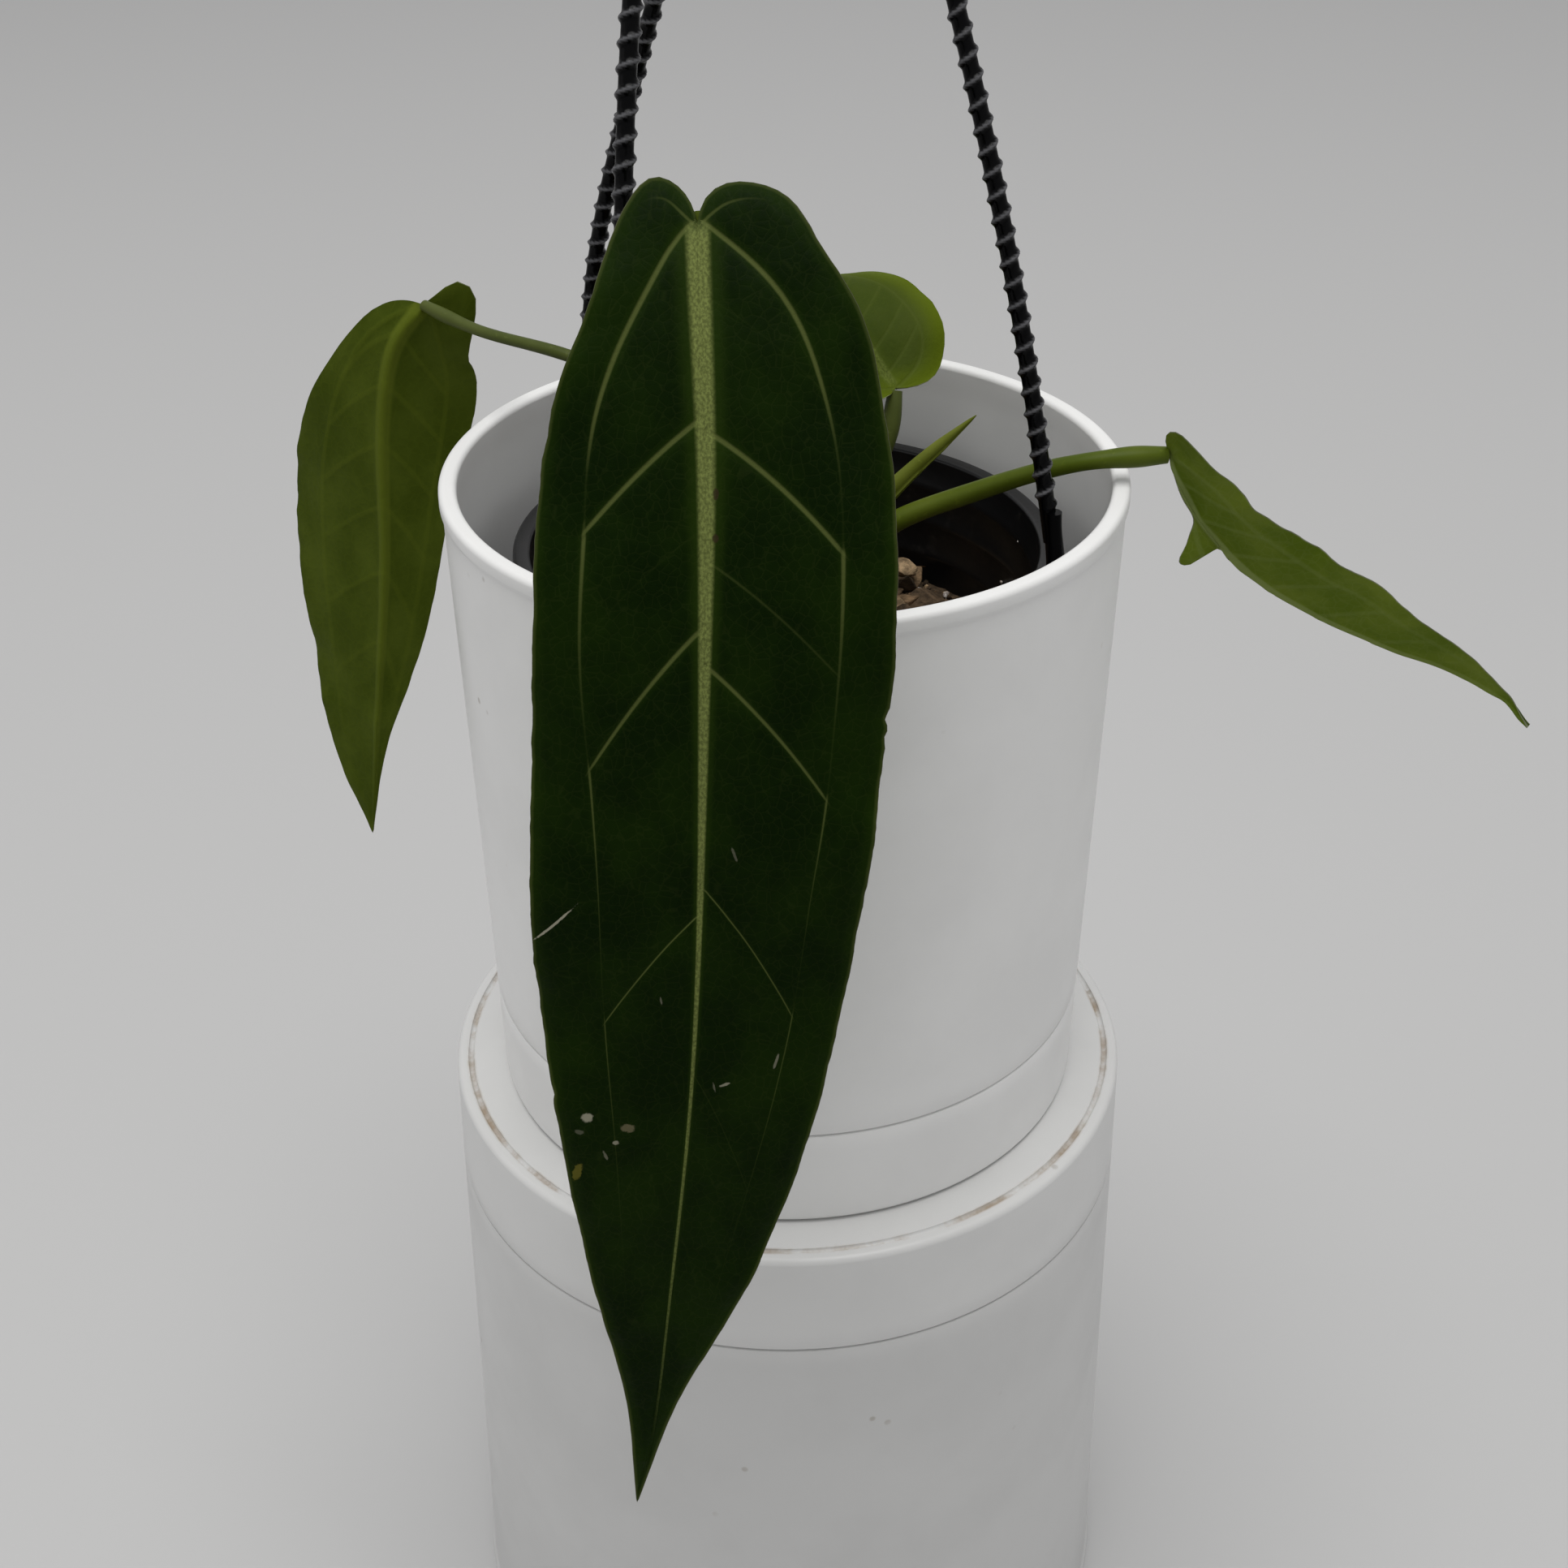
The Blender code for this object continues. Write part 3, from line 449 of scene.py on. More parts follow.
def leaf_under(name, ground_a, ground_b, vein, vein_share=0.22):
    """The underside: matt olive, with the ribs standing out a little paler."""
    look = Look(name, ground_a, 0.5, Specular_IOR_Level=0.03)
    flat = look.attribute("flat", vector=True)
    split = look.node("ShaderNodeSeparateXYZ", {0: flat})
    across = look.math("ABSOLUTE", split.outputs[0])
    cloud = look.noise(look.scaled(flat, (1.0, 0.6, 1.0)), 0.07, 4.0, 0.55)
    ground = look.mix(look.fade(cloud, 0.35, 0.68), ground_a, ground_b)
    net = look.times(look.fade(look.cells(flat, 0.45), 0.08, 0.0), 0.10)
    ground = look.mix(net, ground, vein)
    for line, strength in (("arch", "arch_power"), ("rung", "rung_power")):
        off = look.math("ABSOLUTE", look.attribute(line))
        power = look.fade(look.attribute(strength), 0.0, 0.6, 0.0, vein_share)
        ground = look.mix(look.times(look.fade(off, 0.85, 0.25), power), ground, vein)
    spine = look.fade(look.math("DIVIDE", across, look.attribute("rib")), 1.5, 0.8)
    ground = look.mix(look.times(spine, look.attribute("spine")), ground, vein)
    look.drive("Base Color", ground)
    grain = look.bump(look.noise(flat, 2.6, 3.0, 0.65), 0.00008, 0.5)
    look.drive("Normal", look.bump(look.fade(look.cells(flat, 0.45), 0.0, 0.4), -0.00008, 0.5, grain))
    return look.material


def stalk_look(name, green, pale):
    """Smooth living stalk with fine lengthwise streaks and pale flecks."""
    look = Look(name, green, 0.45, Specular_IOR_Level=0.12)
    place = look.place()
    cloud = look.noise(place, 45.0, 4.0)
    flecks = look.fade(look.noise(place, 620.0, 2.0), 0.62, 0.74)
    body = look.mix(look.fade(cloud, 0.35, 0.7), green, pale)
    look.drive("Base Color", look.mix(look.times(flecks, 0.35), body, [c * 1.5 for c in pale]))
    look.drive("Normal", look.bump(look.noise(look.scaled(place, (1, 1, 0.4)), 900.0, 3.0), 0.00005, 0.6))
    return look.material


def edge_look(name, colour):
    """The thin pale margin of a blade."""
    look = Look(name, colour, 0.45, Specular_IOR_Level=0.3)
    fade = look.noise(look.place(), 160.0, 3.0)
    look.drive("Base Color", look.mix(look.fade(fade, 0.35, 0.7), [c * 0.7 for c in colour], colour))
    return look.material


# ---- blades: the same flat leaf and bending as the CAD blades, with relief and veins ----
LEAF_T = 0.0008
LOBE_END = 0.235
LOBE_FADE = 0.008
FRONT_LEFT_EDGE = (
    (0.0, 0.0), (-0.012, 0.03), (-0.024, 0.10), (-0.030, 0.22), (-0.014, 0.36), (0.037, 0.535),
    (0.10, 0.76), (0.18, 0.89), (0.30, 0.925), (0.42, 0.95), (0.50, 0.93), (0.60, 0.815),
    (0.69, 0.67), (0.80, 0.42), (0.90, 0.18), (0.955, 0.085), (1.0, 0.0),
)  # fmt: skip
FRONT_RIGHT_EDGE = (
    (0.0, 0.0), (-0.014, 0.035), (-0.024, 0.12), (-0.026, 0.27), (-0.018, 0.44), (0.015, 0.63),
    (0.055, 0.81), (0.11, 0.93), (0.185, 1.0), (0.25, 1.02), (0.357, 0.975), (0.457, 0.90),
    (0.577, 0.775), (0.696, 0.61), (0.79, 0.40), (0.85, 0.22), (0.904, 0.09), (0.96, 0.03), (1.0, 0.0),
)  # fmt: skip
LEFT_OUTER_EDGE = (
    (0.0, 0.0), (0.008, 0.08), (0.03, 0.20), (0.092, 0.375), (0.19, 0.66), (0.325, 0.895),
    (0.465, 0.925), (0.615, 0.79), (0.787, 0.56), (0.90, 0.32), (1.0, 0.0),
)  # fmt: skip
LEFT_INNER_EDGE = (
    (0.0, 0.0), (-0.028, 0.055), (-0.056, 0.16), (-0.052, 0.28), (-0.022, 0.38), (0.08, 0.63),
    (0.20, 0.72), (0.32, 0.60), (0.40, 0.50), (0.51, 0.42), (0.66, 0.29), (0.79, 0.12),
    (0.89, 0.04), (1.0, 0.0),
)  # fmt: skip
RIGHT_NEAR_EDGE = (
    (0.0, 0.0), (-0.032, 0.04), (-0.050, 0.12), (-0.055, 0.30), (-0.02, 0.48), (0.035, 0.64),
    (0.14, 0.82), (0.30, 0.90), (0.44, 0.94), (0.58, 0.76), (0.74, 0.46), (0.86, 0.18), (1.0, 0.0),
)  # fmt: skip
RIGHT_FAR_EDGE = (
    (0.0, 0.0), (0.05, 0.03), (0.11, 0.05), (0.150, 0.08), (0.166, 0.20), (0.182, 0.33), (0.203, 0.50),
    (0.214, 0.47), (0.221, 0.36), (0.222, 0.18), (0.226, 0.06), (0.260, 0.06), (0.30, 0.26), (0.34, 0.50),
    (0.40, 0.68), (0.48, 0.72), (0.60, 0.62), (0.76, 0.38), (0.90, 0.14), (1.0, 0.0),
)  # fmt: skip
HEART_EDGE = (
    (0.0, 0.0), (-0.022, 0.14), (-0.034, 0.34), (-0.022, 0.54), (0.025, 0.77), (0.12, 0.95),
    (0.21, 1.03), (0.30, 1.03), (0.40, 0.90), (0.55, 0.62), (0.72, 0.36), (0.88, 0.12), (1.0, 0.0),
)  # fmt: skip
FRONT_LEAF = {
    "joint": RIM + Vector((-0.0136, -COVER_R - 0.0146, 0.0803)),
    "length": 0.2530,
    "half_width": 0.0305,
    "across": (1.0, 0.0, 0.0),
    "fold": (4, 4),
    "curl": (-10, -10),
    "lobe_droop": (0, 0),
    "wave": 0.0012,
    "waves": 5,
    "course": (
        (0.000, 0.12, 1.24), (0.000, 0.00, 1.10), (0.014, -0.23, 0.70), (0.005, -0.40, 0.20),
        (-0.018, -0.50, -0.40), (-0.060, -0.57, -1.00), (-0.129, -0.62, -1.60),
        (-0.184, -0.64, -2.02), (-0.233, -0.65, -2.26),
    ),
    "left": FRONT_LEFT_EDGE,
    "right": FRONT_RIGHT_EDGE,
    "rib": (
        (0.0, 2.15), (0.06, 2.0), (0.17, 1.6), (0.30, 1.08), (0.39, 0.78), (0.50, 0.52),
        (0.60, 0.38), (1.0, 0.22),
    ),
    "spine": ((0.0, 0.95), (0.5, 0.85), (0.72, 0.6), (0.86, 0.25), (0.93, 0.0), (1.0, 0.0)),
    "arches": (
        ((0.0, -0.03), (0.012, -0.12), (0.031, -0.22), (0.078, -0.44), (0.128, -0.59), (0.195, -0.645),
         (0.271, -0.67), (0.355, -0.62), (0.444, -0.57), (0.547, -0.52), (0.64, -0.43), (0.74, -0.32),
         (0.87, -0.17), (1.0, 0.0)),
        ((0.0, 0.03), (0.012, 0.15), (0.028, 0.29), (0.057, 0.47), (0.102, 0.61), (0.14, 0.68),
         (0.206, 0.725), (0.267, 0.725), (0.33, 0.70), (0.371, 0.68), (0.438, 0.62), (0.534, 0.55),
         (0.65, 0.42), (0.75, 0.30), (0.87, 0.15), (1.0, 0.0)),
    ),
    "arch_power": (
        ((0.0, 0.9), (0.031, 1.0), (0.085, 0.95), (0.128, 0.6), (0.160, 0.16), (0.190, 0.12),
         (0.195, 0.75), (0.271, 0.4), (0.33, 0.16), (0.350, 0.14), (0.355, 0.65), (0.444, 0.35),
         (0.52, 0.14), (0.542, 0.12), (0.547, 0.5), (0.64, 0.25), (0.73, 0.12), (0.85, 0.0)),
        ((0.0, 0.9), (0.028, 1.0), (0.060, 0.95), (0.102, 0.7), (0.14, 0.28), (0.17, 0.13),
         (0.201, 0.12), (0.206, 0.8), (0.267, 0.4), (0.33, 0.16), (0.366, 0.12), (0.371, 0.6),
         (0.438, 0.3), (0.50, 0.14), (0.529, 0.12), (0.534, 0.5), (0.65, 0.2), (0.75, 0.1), (0.85, 0.0)),
    ),
    "rungs": (
        ((0.121, 0.195, -0.645, 1.0), (0.190, 0.268, -0.67, 0.10), (0.254, 0.355, -0.62, 0.9),
         (0.458, 0.547, -0.52, 0.8), (0.60, 0.70, -0.37, 0.14), (0.74, 0.82, -0.24, 0.1)),
        ((0.045, 0.110, 0.63, 0.10), (0.130, 0.206, 0.725, 1.0), (0.212, 0.285, 0.72, 0.3),
         (0.280, 0.371, 0.68, 0.85), (0.437, 0.534, 0.55, 0.7), (0.585, 0.68, 0.39, 0.2),
         (0.72, 0.80, 0.23, 0.1)),
    ),
    "lobe_veins": (
        ((0.0, -0.03), (-0.008, -0.10), (-0.015, -0.18), (-0.012, -0.30), (0.002, -0.42)),
        ((0.0, 0.03), (-0.009, 0.12), (-0.014, 0.26), (-0.010, 0.42), (0.006, 0.58)),
    ),
}  # fmt: skip
LEFT_LEAF = {
    "joint": RIM + Vector((-COVER_R - 0.0080, 0.0450, 0.0200)),
    "length": 0.1450,
    "half_width": 0.0300,
    "across": (-0.92, 0.38, 0.0),
    "fold": (38, 4),
    "curl": (14, 14),
    "lobe_droop": (0, 0),
    "wave": 0.0008,
    "waves": 3,
    "course": (
        (0.06, 0.02, 0.10), (0.0, 0.0, 0.0), (-0.08, 0.0, -0.10), (-0.15, 0.0, -0.30),
        (-0.20, 0.0, -0.80), (-0.28, 0.0, -1.40), (-0.355, 0.0, -1.95),
    ),
    "left": LEFT_INNER_EDGE,
    "right": LEFT_OUTER_EDGE,
    "rib": ((0.0, 1.7), (0.3, 1.35), (0.7, 0.8), (1.0, 0.3)),
    "spine": ((0.0, 0.8), (0.6, 0.55), (0.9, 0.2), (1.0, 0.0)),
}  # fmt: skip
RIGHT_LEAF = {
    "joint": RIM + Vector((COVER_R + 0.0069, -0.0080, 0.0056)),
    "length": 0.1060,
    "half_width": 0.0180,
    "across": (0.0, 0.62, -0.78),
    "fold": (10, 26),
    "curl": (10, 10),
    "lobe_droop": (0, 85),
    "wave": 0.0009,
    "waves": 4,
    "course": (
        (-0.05, 0.00, 0.12), (0.0, 0.0, 0.0), (0.082, -0.01, -0.16), (0.16, -0.02, -0.259),
        (0.313, -0.04, -0.394), (0.512, -0.06, -0.505), (0.71, -0.08, -0.59),
        (0.908, -0.10, -0.662), (1.038, -0.11, -0.74), (1.136, -0.12, -0.833),
    ),
    "left": RIGHT_NEAR_EDGE,
    "right": RIGHT_FAR_EDGE,
    "rib": ((0.0, 0.9), (0.4, 0.6), (0.8, 0.4), (1.0, 0.3)),
    "spine": ((0.0, 0.8), (0.6, 0.55), (0.9, 0.2), (1.0, 0.0)),
}  # fmt: skip
BACK_LEAF = {
    "joint": RIM + Vector((0.0246, 0.0260, 0.0068)),
    "length": 0.0660,
    "half_width": 0.0185,
    "across": (-0.95, -0.30, 0.0),
    "fold": (10, 10),
    "curl": (-16, -16),
    "lobe_droop": (0, 0),
    "wave": 0.0008,
    "waves": 3,
    "course": (
        (0.12, -0.17, -0.03), (0.0, 0.0, 0.0), (-0.16, 0.16, 0.20), (-0.34, 0.38, 0.28),
        (-0.54, 0.60, 0.20), (-0.70, 0.78, 0.02),
    ),
    "left": HEART_EDGE,
    "right": HEART_EDGE,
    "rib": ((0.0, 1.5), (0.5, 0.9), (1.0, 0.3)),
    "spine": ((0.0, 0.6), (0.6, 0.5), (1.0, 0.0)),
}  # fmt: skip


def usual_veins(leaf):
    """Veins for a leaf that names none: an arch in each half, rungs from the midrib out to it."""
    veins = {"arches": [], "arch_power": [], "rungs": [], "lobe_veins": []}
    for sign, edge in ((-1, leaf["left"]), (1, leaf["right"])):
        edge = np.asarray(edge)
        outer = edge[edge[:, 1].argmax() :]
        inner = edge[: edge[:, 1].argmax() + 1]

        def wide(s):
            if s > outer[0, 0]:
                return np.interp(s, outer[:, 0], outer[:, 1])
            return np.interp(s, inner[2:, 0], inner[2:, 1])

        knots = [(0.0, 0.03 * sign), (0.03, sign * 0.45 * wide(0.03))]
        knots += [(s, sign * 0.68 * wide(s)) for s in (0.12, 0.22, 0.34, 0.46, 0.58, 0.70, 0.84)]
        veins["arches"].append([*knots, (1.0, 0.0)])
        veins["arch_power"].append([(0.0, 0.7), (0.4, 0.5), (0.8, 0.25), (1.0, 0.0)])
        feet = (0.06, 0.15, 0.25, 0.36, 0.48, 0.61)
        veins["rungs"].append([(f, f + 0.10, sign * 0.68 * wide(f + 0.10), 0.65 - 0.4 * f) for f in feet])
        veins["lobe_veins"].append([(0.0, 0.03 * sign), (-0.012, 0.14 * sign), (-0.010, 0.42 * sign)])
    return veins


def leaf_path(leaf):
    shape = np.asarray(leaf["course"], float)
    places = along(shape)
    scale = leaf["length"] / (places[-1] - places[1])
    return np.asarray(leaf["joint"], float) + (shape - shape[1]) * scale, (places - places[1]) * scale


def bent(leaf, s, w):
    """Where points of the flat leaf lie: s along the midrib, w across it, both in metres."""
    path, places = leaf_path(leaf)
    before, here, after = (spline(places, path, s + step) for step in (-0.0005, 0.0, 0.0005))
    forward = after - before
    forward /= np.linalg.norm(forward, axis=-1, keepdims=True)
    side = np.asarray(leaf["across"]) - forward * (forward @ np.asarray(leaf["across"]))[..., None]
    side /= np.linalg.norm(side, axis=-1, keepdims=True)
    upper = np.cross(forward, side)
    half = (w >= 0).astype(int)

    def of_half(key):
        return np.asarray(leaf[key], float)[half]

    share = np.minimum(np.abs(w) / leaf["half_width"], 1.2)
    droop = of_half("lobe_droop") / (1 + np.exp((s / leaf["length"] - LOBE_END) / LOBE_FADE))
    lift = np.radians(of_half("fold") + of_half("curl") * share / 2 - droop)
    wave = leaf["wave"] * share**2 * np.sin(leaf["waves"] * 2 * np.pi * s / leaf["length"] + half)
    return here + side * (w * np.cos(lift))[..., None] + upper * (np.abs(w) * np.sin(lift) + wave)[..., None]


def to_line(points, line):
    """Each point's signed distance to a line of points, how far along it is, and where it is nearest."""
    best = np.full(len(points), 1e9)
    signed, share, nearest = np.zeros(len(points)), np.zeros(len(points)), np.zeros(len(points))
    for i, (a, b) in enumerate(zip(line, line[1:])):
        run = b - a
        t = np.clip(((points - a) @ run) / (run @ run), 0, 1)
        off = points - (a + t[:, None] * run)
        far = np.hypot(off[:, 0], off[:, 1])
        turn = run[0] * (points[:, 1] - a[1]) - run[1] * (points[:, 0] - a[0])
        near = far < best
        best[near] = far[near]
        signed[near] = (far * np.where(turn < 0, -1, 1))[near]
        share[near] = ((i + t) / (len(line) - 1))[near]
        nearest[near] = (a[0] + t * run[0])[near]
    return signed, share, nearest


def vein_fields(leaf, s, w):
    """Signed distances in mm to the arch vein and to the nearest rung, and the strength of each.
    The rungs' sign turns over from one to the next, so that it only changes on a vein."""
    scale = np.array((leaf["length"], leaf["half_width"])) / MM
    veins = leaf if "arches" in leaf else usual_veins(leaf)
    points = np.stack([s, w], 1) / MM
    arch, rung = np.full(len(s), 99.0), np.full(len(s), 99.0)
    arch_power, rung_power = np.zeros(len(s)), np.zeros(len(s))
    for half in (0, 1):
        mine = (w >= 0) if half else (w < 0)
        here = points[mine]
        if len(here) == 0:
            continue
        signed, _, nearest = to_line(here, smooth_path(np.asarray(veins["arches"][half]) * scale, 90))
        places, powers = np.asarray(veins["arch_power"][half]).T
        arch[mine], arch_power[mine] = signed, np.interp(nearest / scale[0], places, powers)
        lines = [(smooth_path(np.asarray(veins["lobe_veins"][half]) * scale, 16), 0.5, 0.1, 0.8)]
        for foot, end_s, end_w, power in veins["rungs"][half]:
            turns = np.linspace(0, 1.45, 24)
            s_line = foot + (end_s - foot) * turns * (0.72 + 0.28 * turns)
            lines.append((np.stack([s_line, end_w * turns], 1) * scale, power, 0.66, 0.72))
        best = np.full(len(here), 1e9)
        field, strength = np.full(len(here), 99.0), np.zeros(len(here))
        for i, (line, power, full_to, gone_by) in enumerate(lines):
            signed, share, _ = to_line(here, line)
            near = np.abs(signed) < best
            best[near] = np.abs(signed)[near]
            field[near] = (signed * (-1) ** i)[near]
            strength[near] = (power * (1 - 0.30 * share) * (1 - smoothstep(full_to, gone_by, share)))[near]
        rung[mine], rung_power[mine] = field, strength
    return arch, arch_power, rung, rung_power


def rows_of(leaf, side, feet, fan, slant):
    """For one half: the foot and the margin point of each row, fanned from the joint, then in step."""
    outline = np.asarray(leaf["left" if side < 0 else "right"], float)
    outline = outline * (leaf["length"], leaf["half_width"])
    places = along(outline)
    t = np.linspace(0, 1, 1400) ** 1.5
    edge = spline(places, outline, places[-1] * t)
    edge[:, 1] = np.maximum(edge[:, 1], 0.0)
    foot = edge[:, 0] - slant * edge[:, 1]
    start = np.argmax((foot > 0) & (edge[:, 0] > 0.02 * leaf["length"]))
    foot = np.maximum.accumulate(np.concatenate([np.zeros(start), foot[start:]]))
    foot[start:] += np.linspace(0, 1e-6, len(foot) - start)
    arc_length = along(edge[: start + 1])
    steps = np.linspace(0, arc_length[-1], fan)
    fan_edge = np.stack([np.interp(steps, arc_length, edge[: start + 1, k]) for k in (0, 1)], 1)
    rest = np.stack([np.interp(feet, foot[start:], edge[start:, k]) for k in (0, 1)], 1)
    return np.concatenate([np.zeros(fan), feet]), np.concatenate([fan_edge, rest])


def blade(name, leaf, looks, shape, stands_for, row=0.0011, columns=30, slant=1.0, nicks=()):
    """A blade as one closed mesh: its upper side, its underside and a thin rounded margin.
    shape gives its relief in mm, under the names in RELIEF."""
    length = leaf["length"]
    inner = np.array([0.0, 0.010, 0.024, 0.042, 0.065, 0.092])
    shares = np.concatenate([inner, np.linspace(0.125, 0.965, columns - 8), [0.985, 1.0]])
    feet = np.append(np.arange(row, length - row * 0.3, row), length)
    wander = noise.noise
    flat, rows = [], []
    for half, side in ((0, -1), (1, 1)):
        foot, edge = rows_of(leaf, side, feet, max(12, int(0.055 * length / MM * 2)), slant)
        for i, (s_edge, w_edge) in enumerate(edge):
            ragged = 1 + 0.010 * wander((s_edge * 150, half * 9.0, 1.5))
            ragged += 0.006 * wander((s_edge * 500, half, 4.0))
            cuts = sum(
                depth * math.exp(-(((s_edge - at * length) / wide) ** 2))
                for cut_half, at, depth, wide in nicks
                if cut_half == half
            )
            edge[i, 1] = max(w_edge * ragged - min(cuts, w_edge * 0.6), 0.0)
        s = foot[:, None] + (edge[:, 0] - foot)[:, None] * shares
        w = side * edge[:, 1][:, None] * shares
        start = sum(len(f) for f in flat)
        flat.append(np.stack([s, w], -1).reshape(-1, 2))
        rows.append((side, start + np.arange(s.size).reshape(s.shape)))
    flat = np.concatenate(flat)
    keys = np.round(flat / 2e-7).astype(np.int64)
    _, first, index = np.unique(keys, axis=0, return_index=True, return_inverse=True)
    index = index.reshape(-1)
    s, w = flat[first].T
    grids = [(side, index[grid]) for side, grid in rows]
    rim_s_w = np.concatenate([flat[first][grids[0][1][:, -1]], flat[first][grids[1][1][::-1, -1]]])
    away, _, _ = to_line(np.stack([s, w], 1) / MM, rim_s_w / MM)
    away = np.abs(away)
    arch, arch_power, rung, rung_power = vein_fields(leaf, s, w)
    rib = np.interp(s / length, *np.asarray(leaf["rib"]).T)
    spine = np.interp(s / length, *np.asarray(leaf["spine"]).T)
    across = np.abs(w) / MM
    dips = [arch_power * np.exp(-np.abs(arch) / 3.2), rung_power * np.exp(-np.abs(rung) / 3.2)]
    dip = np.maximum.reduce([*dips, np.exp(-across / 3.5)])
    quilt = (1 - dip) * smoothstep(0.0, 4.0, away)
    grooves = [arch_power * np.exp(-((arch / 0.75) ** 2)), rung_power * np.exp(-((rung / 0.75) ** 2))]
    groove = np.maximum(*grooves)
    spine = spine * smoothstep(-0.8, 2.5, s / MM)
    taper = smoothstep(-0.5, 3.0, s / MM) * rib / rib.max()
    rib_form = np.exp(-((across / (rib * 0.85)) ** 2))
    top = quilt * shape["quilt"] - groove * shape["groove"]
    beside_rib = np.exp(-((across / rib - 1.4) ** 2) * 6)
    top += shape["ridge"] * np.exp(-((across / rib) ** 4)) * spine - 0.12 * beside_rib
    under = groove * shape["welt"] - quilt * shape["quilt"] + shape["keel"] * rib_form * taper
    share = np.clip(1 - away / 11.0, 0, 1)
    waviness = np.array([wander((a * 85, 3.0 if b < 0 else 7.0, 0.3)) for a, b in zip(s, w)])
    waviness += 0.5 * np.array([wander((a * 210, 1.0 if b < 0 else 5.0, 2.3)) for a, b in zip(s, w)])
    lumps = np.array([wander((a * 120, b * 120, 8.0)) for a, b in zip(s, w)]) * smoothstep(0, 6, away)
    lift = (shape["ripple"] * waviness * share**2 + shape["lump"] * lumps) * MM
    step = 0.0004
    middle = bent(leaf, s, w)
    run = bent(leaf, s + step, w) - bent(leaf, s - step, w)
    wide = bent(leaf, s, w + step) - bent(leaf, s, w - step)
    normal = np.cross(run, wide)
    normal /= np.linalg.norm(normal, axis=1)[:, None]
    thin = LEAF_T / 2 * (0.35 + 0.65 * smoothstep(0.0, 2.5, away))
    middle = middle + normal * lift[:, None]
    upper = middle + normal * (thin + top * MM)[:, None]
    lower = middle - normal * (thin + np.maximum(under * MM, 0.0001 - thin))[:, None]
    count = len(s)
    faces, tints = [], []
    for side, grid in grids:
        for one, following in zip(grid, grid[1:]):
            for j in range(len(shares) - 1):
                corners = list(dict.fromkeys((one[j], one[j + 1], following[j + 1], following[j])))
                if len(corners) < 3:
                    continue
                up = corners[::-1] if side > 0 else corners
                faces.append(up)
                faces.append([c + count for c in up[::-1]])
                tints.extend((0, 1))
    outer = {}
    margin_points, margin_from = [], []
    for side, grid in grids:
        line = grid[:, -1]
        for k, near in zip(line, grid[:, -2]):
            if k not in outer:
                out = middle[k] - middle[near]
                size = np.linalg.norm(out)
                out = out / size if size > 1e-7 else np.zeros(3)
                outer[k] = 2 * count + len(margin_points)
                margin_points.append(middle[k] + out * 0.00018)
                margin_from.append(k)
        for a, b in zip(line, line[1:]):
            if a == b:
                continue
            for strip in ([a, b, outer[b], outer[a]], [outer[a], outer[b], b + count, a + count]):
                faces.append(strip if side > 0 else strip[::-1])
                tints.append(2)
    points = np.concatenate([upper, lower, margin_points])
    made = add_piece(name, points, faces, looks, tints, 75, stands_for)
    pick = np.concatenate([np.arange(count), np.arange(count), margin_from]).astype(int)
    fields = {
        "arch": arch, "arch_power": arch_power, "rung": rung, "rung_power": rung_power,
        "rib": rib, "spine": spine, "quilt": quilt, "edge": away,
    }  # fmt: skip
    for field, values in fields.items():
        set_attribute(made, field, values[pick])
    set_attribute(made, "flat", np.stack([w, s, np.zeros(count)], 1)[pick] / MM)
    return made


DARK_MARGIN = edge_look("leaf_margin_dark", (0.060, 0.066, 0.022))
PALE_MARGIN = edge_look("leaf_margin_pale", (0.30, 0.34, 0.14))
SCAR = (0.42, 0.40, 0.30)
DRY = (0.20, 0.17, 0.10)
WITHERED = (0.11, 0.10, 0.015)
SPOT = (0.03, 0.02, 0.01)
# Blemishes of the front blade: place along and across it and two half sizes in mm, turn, tint, strength.
FRONT_MARKS = (
    (158.3, -18.2, 1.0, 1.1, 0, SCAR, 0.55), (160.0, -10.8, 0.9, 1.4, 0, DRY, 0.45),
    (163.4, -12.8, 0.5, 0.6, 0, SCAR, 0.45), (166.5, -14.4, 1.2, 0.30, 25, SCAR, 0.22),
    (161.6, -19.4, 0.6, 0.8, 0, SCAR, 0.14), (171.0, -19.3, 2.4, 0.8, -12, WITHERED, 0.80),
    (118.6, -25.0, 0.26, 5.4, 47, SCAR, 0.70), (149.5, 5.9, 0.28, 1.1, 30, SCAR, 0.45),
    (150.2, 4.0, 1.0, 0.22, 15, SCAR, 0.18), (144.0, 14.6, 1.9, 0.26, -12, SCAR, 0.30),
    (133.0, -6.2, 0.8, 0.20, 10, SCAR, 0.20), (104.0, 5.6, 1.4, 0.26, 20, SCAR, 0.16),
    (43.0, 1.6, 0.9, 0.5, 0, SPOT, 0.8), (50.0, 1.5, 0.8, 0.5, 0, SPOT, 0.8),
)  # fmt: skip
FRONT_LOOKS = (
    leaf_upper("leaf_front_upper", (0.0026, 0.0085, 0.0003), (0.0058, 0.0155, 0.0006),
               (0.105, 0.125, 0.035), 0.50, (0.018, 0.036, 0.003), 0.62, FRONT_MARKS),
    leaf_under("leaf_dark_under", (0.045, 0.062, 0.006), (0.066, 0.088, 0.012), (0.110, 0.135, 0.028)),
    DARK_MARGIN,
)  # fmt: skip
SIDE_LOOKS = (
    leaf_upper("leaf_side_upper", (0.010, 0.024, 0.002), (0.020, 0.042, 0.004), (0.14, 0.16, 0.05),
               0.45, (0.035, 0.055, 0.006), 0.7),
    leaf_under("leaf_side_under", (0.042, 0.061, 0.0040), (0.062, 0.085, 0.0080),
               (0.098, 0.125, 0.0110)),
    edge_look("leaf_margin_side", (0.14, 0.16, 0.06)),
)  # fmt: skip
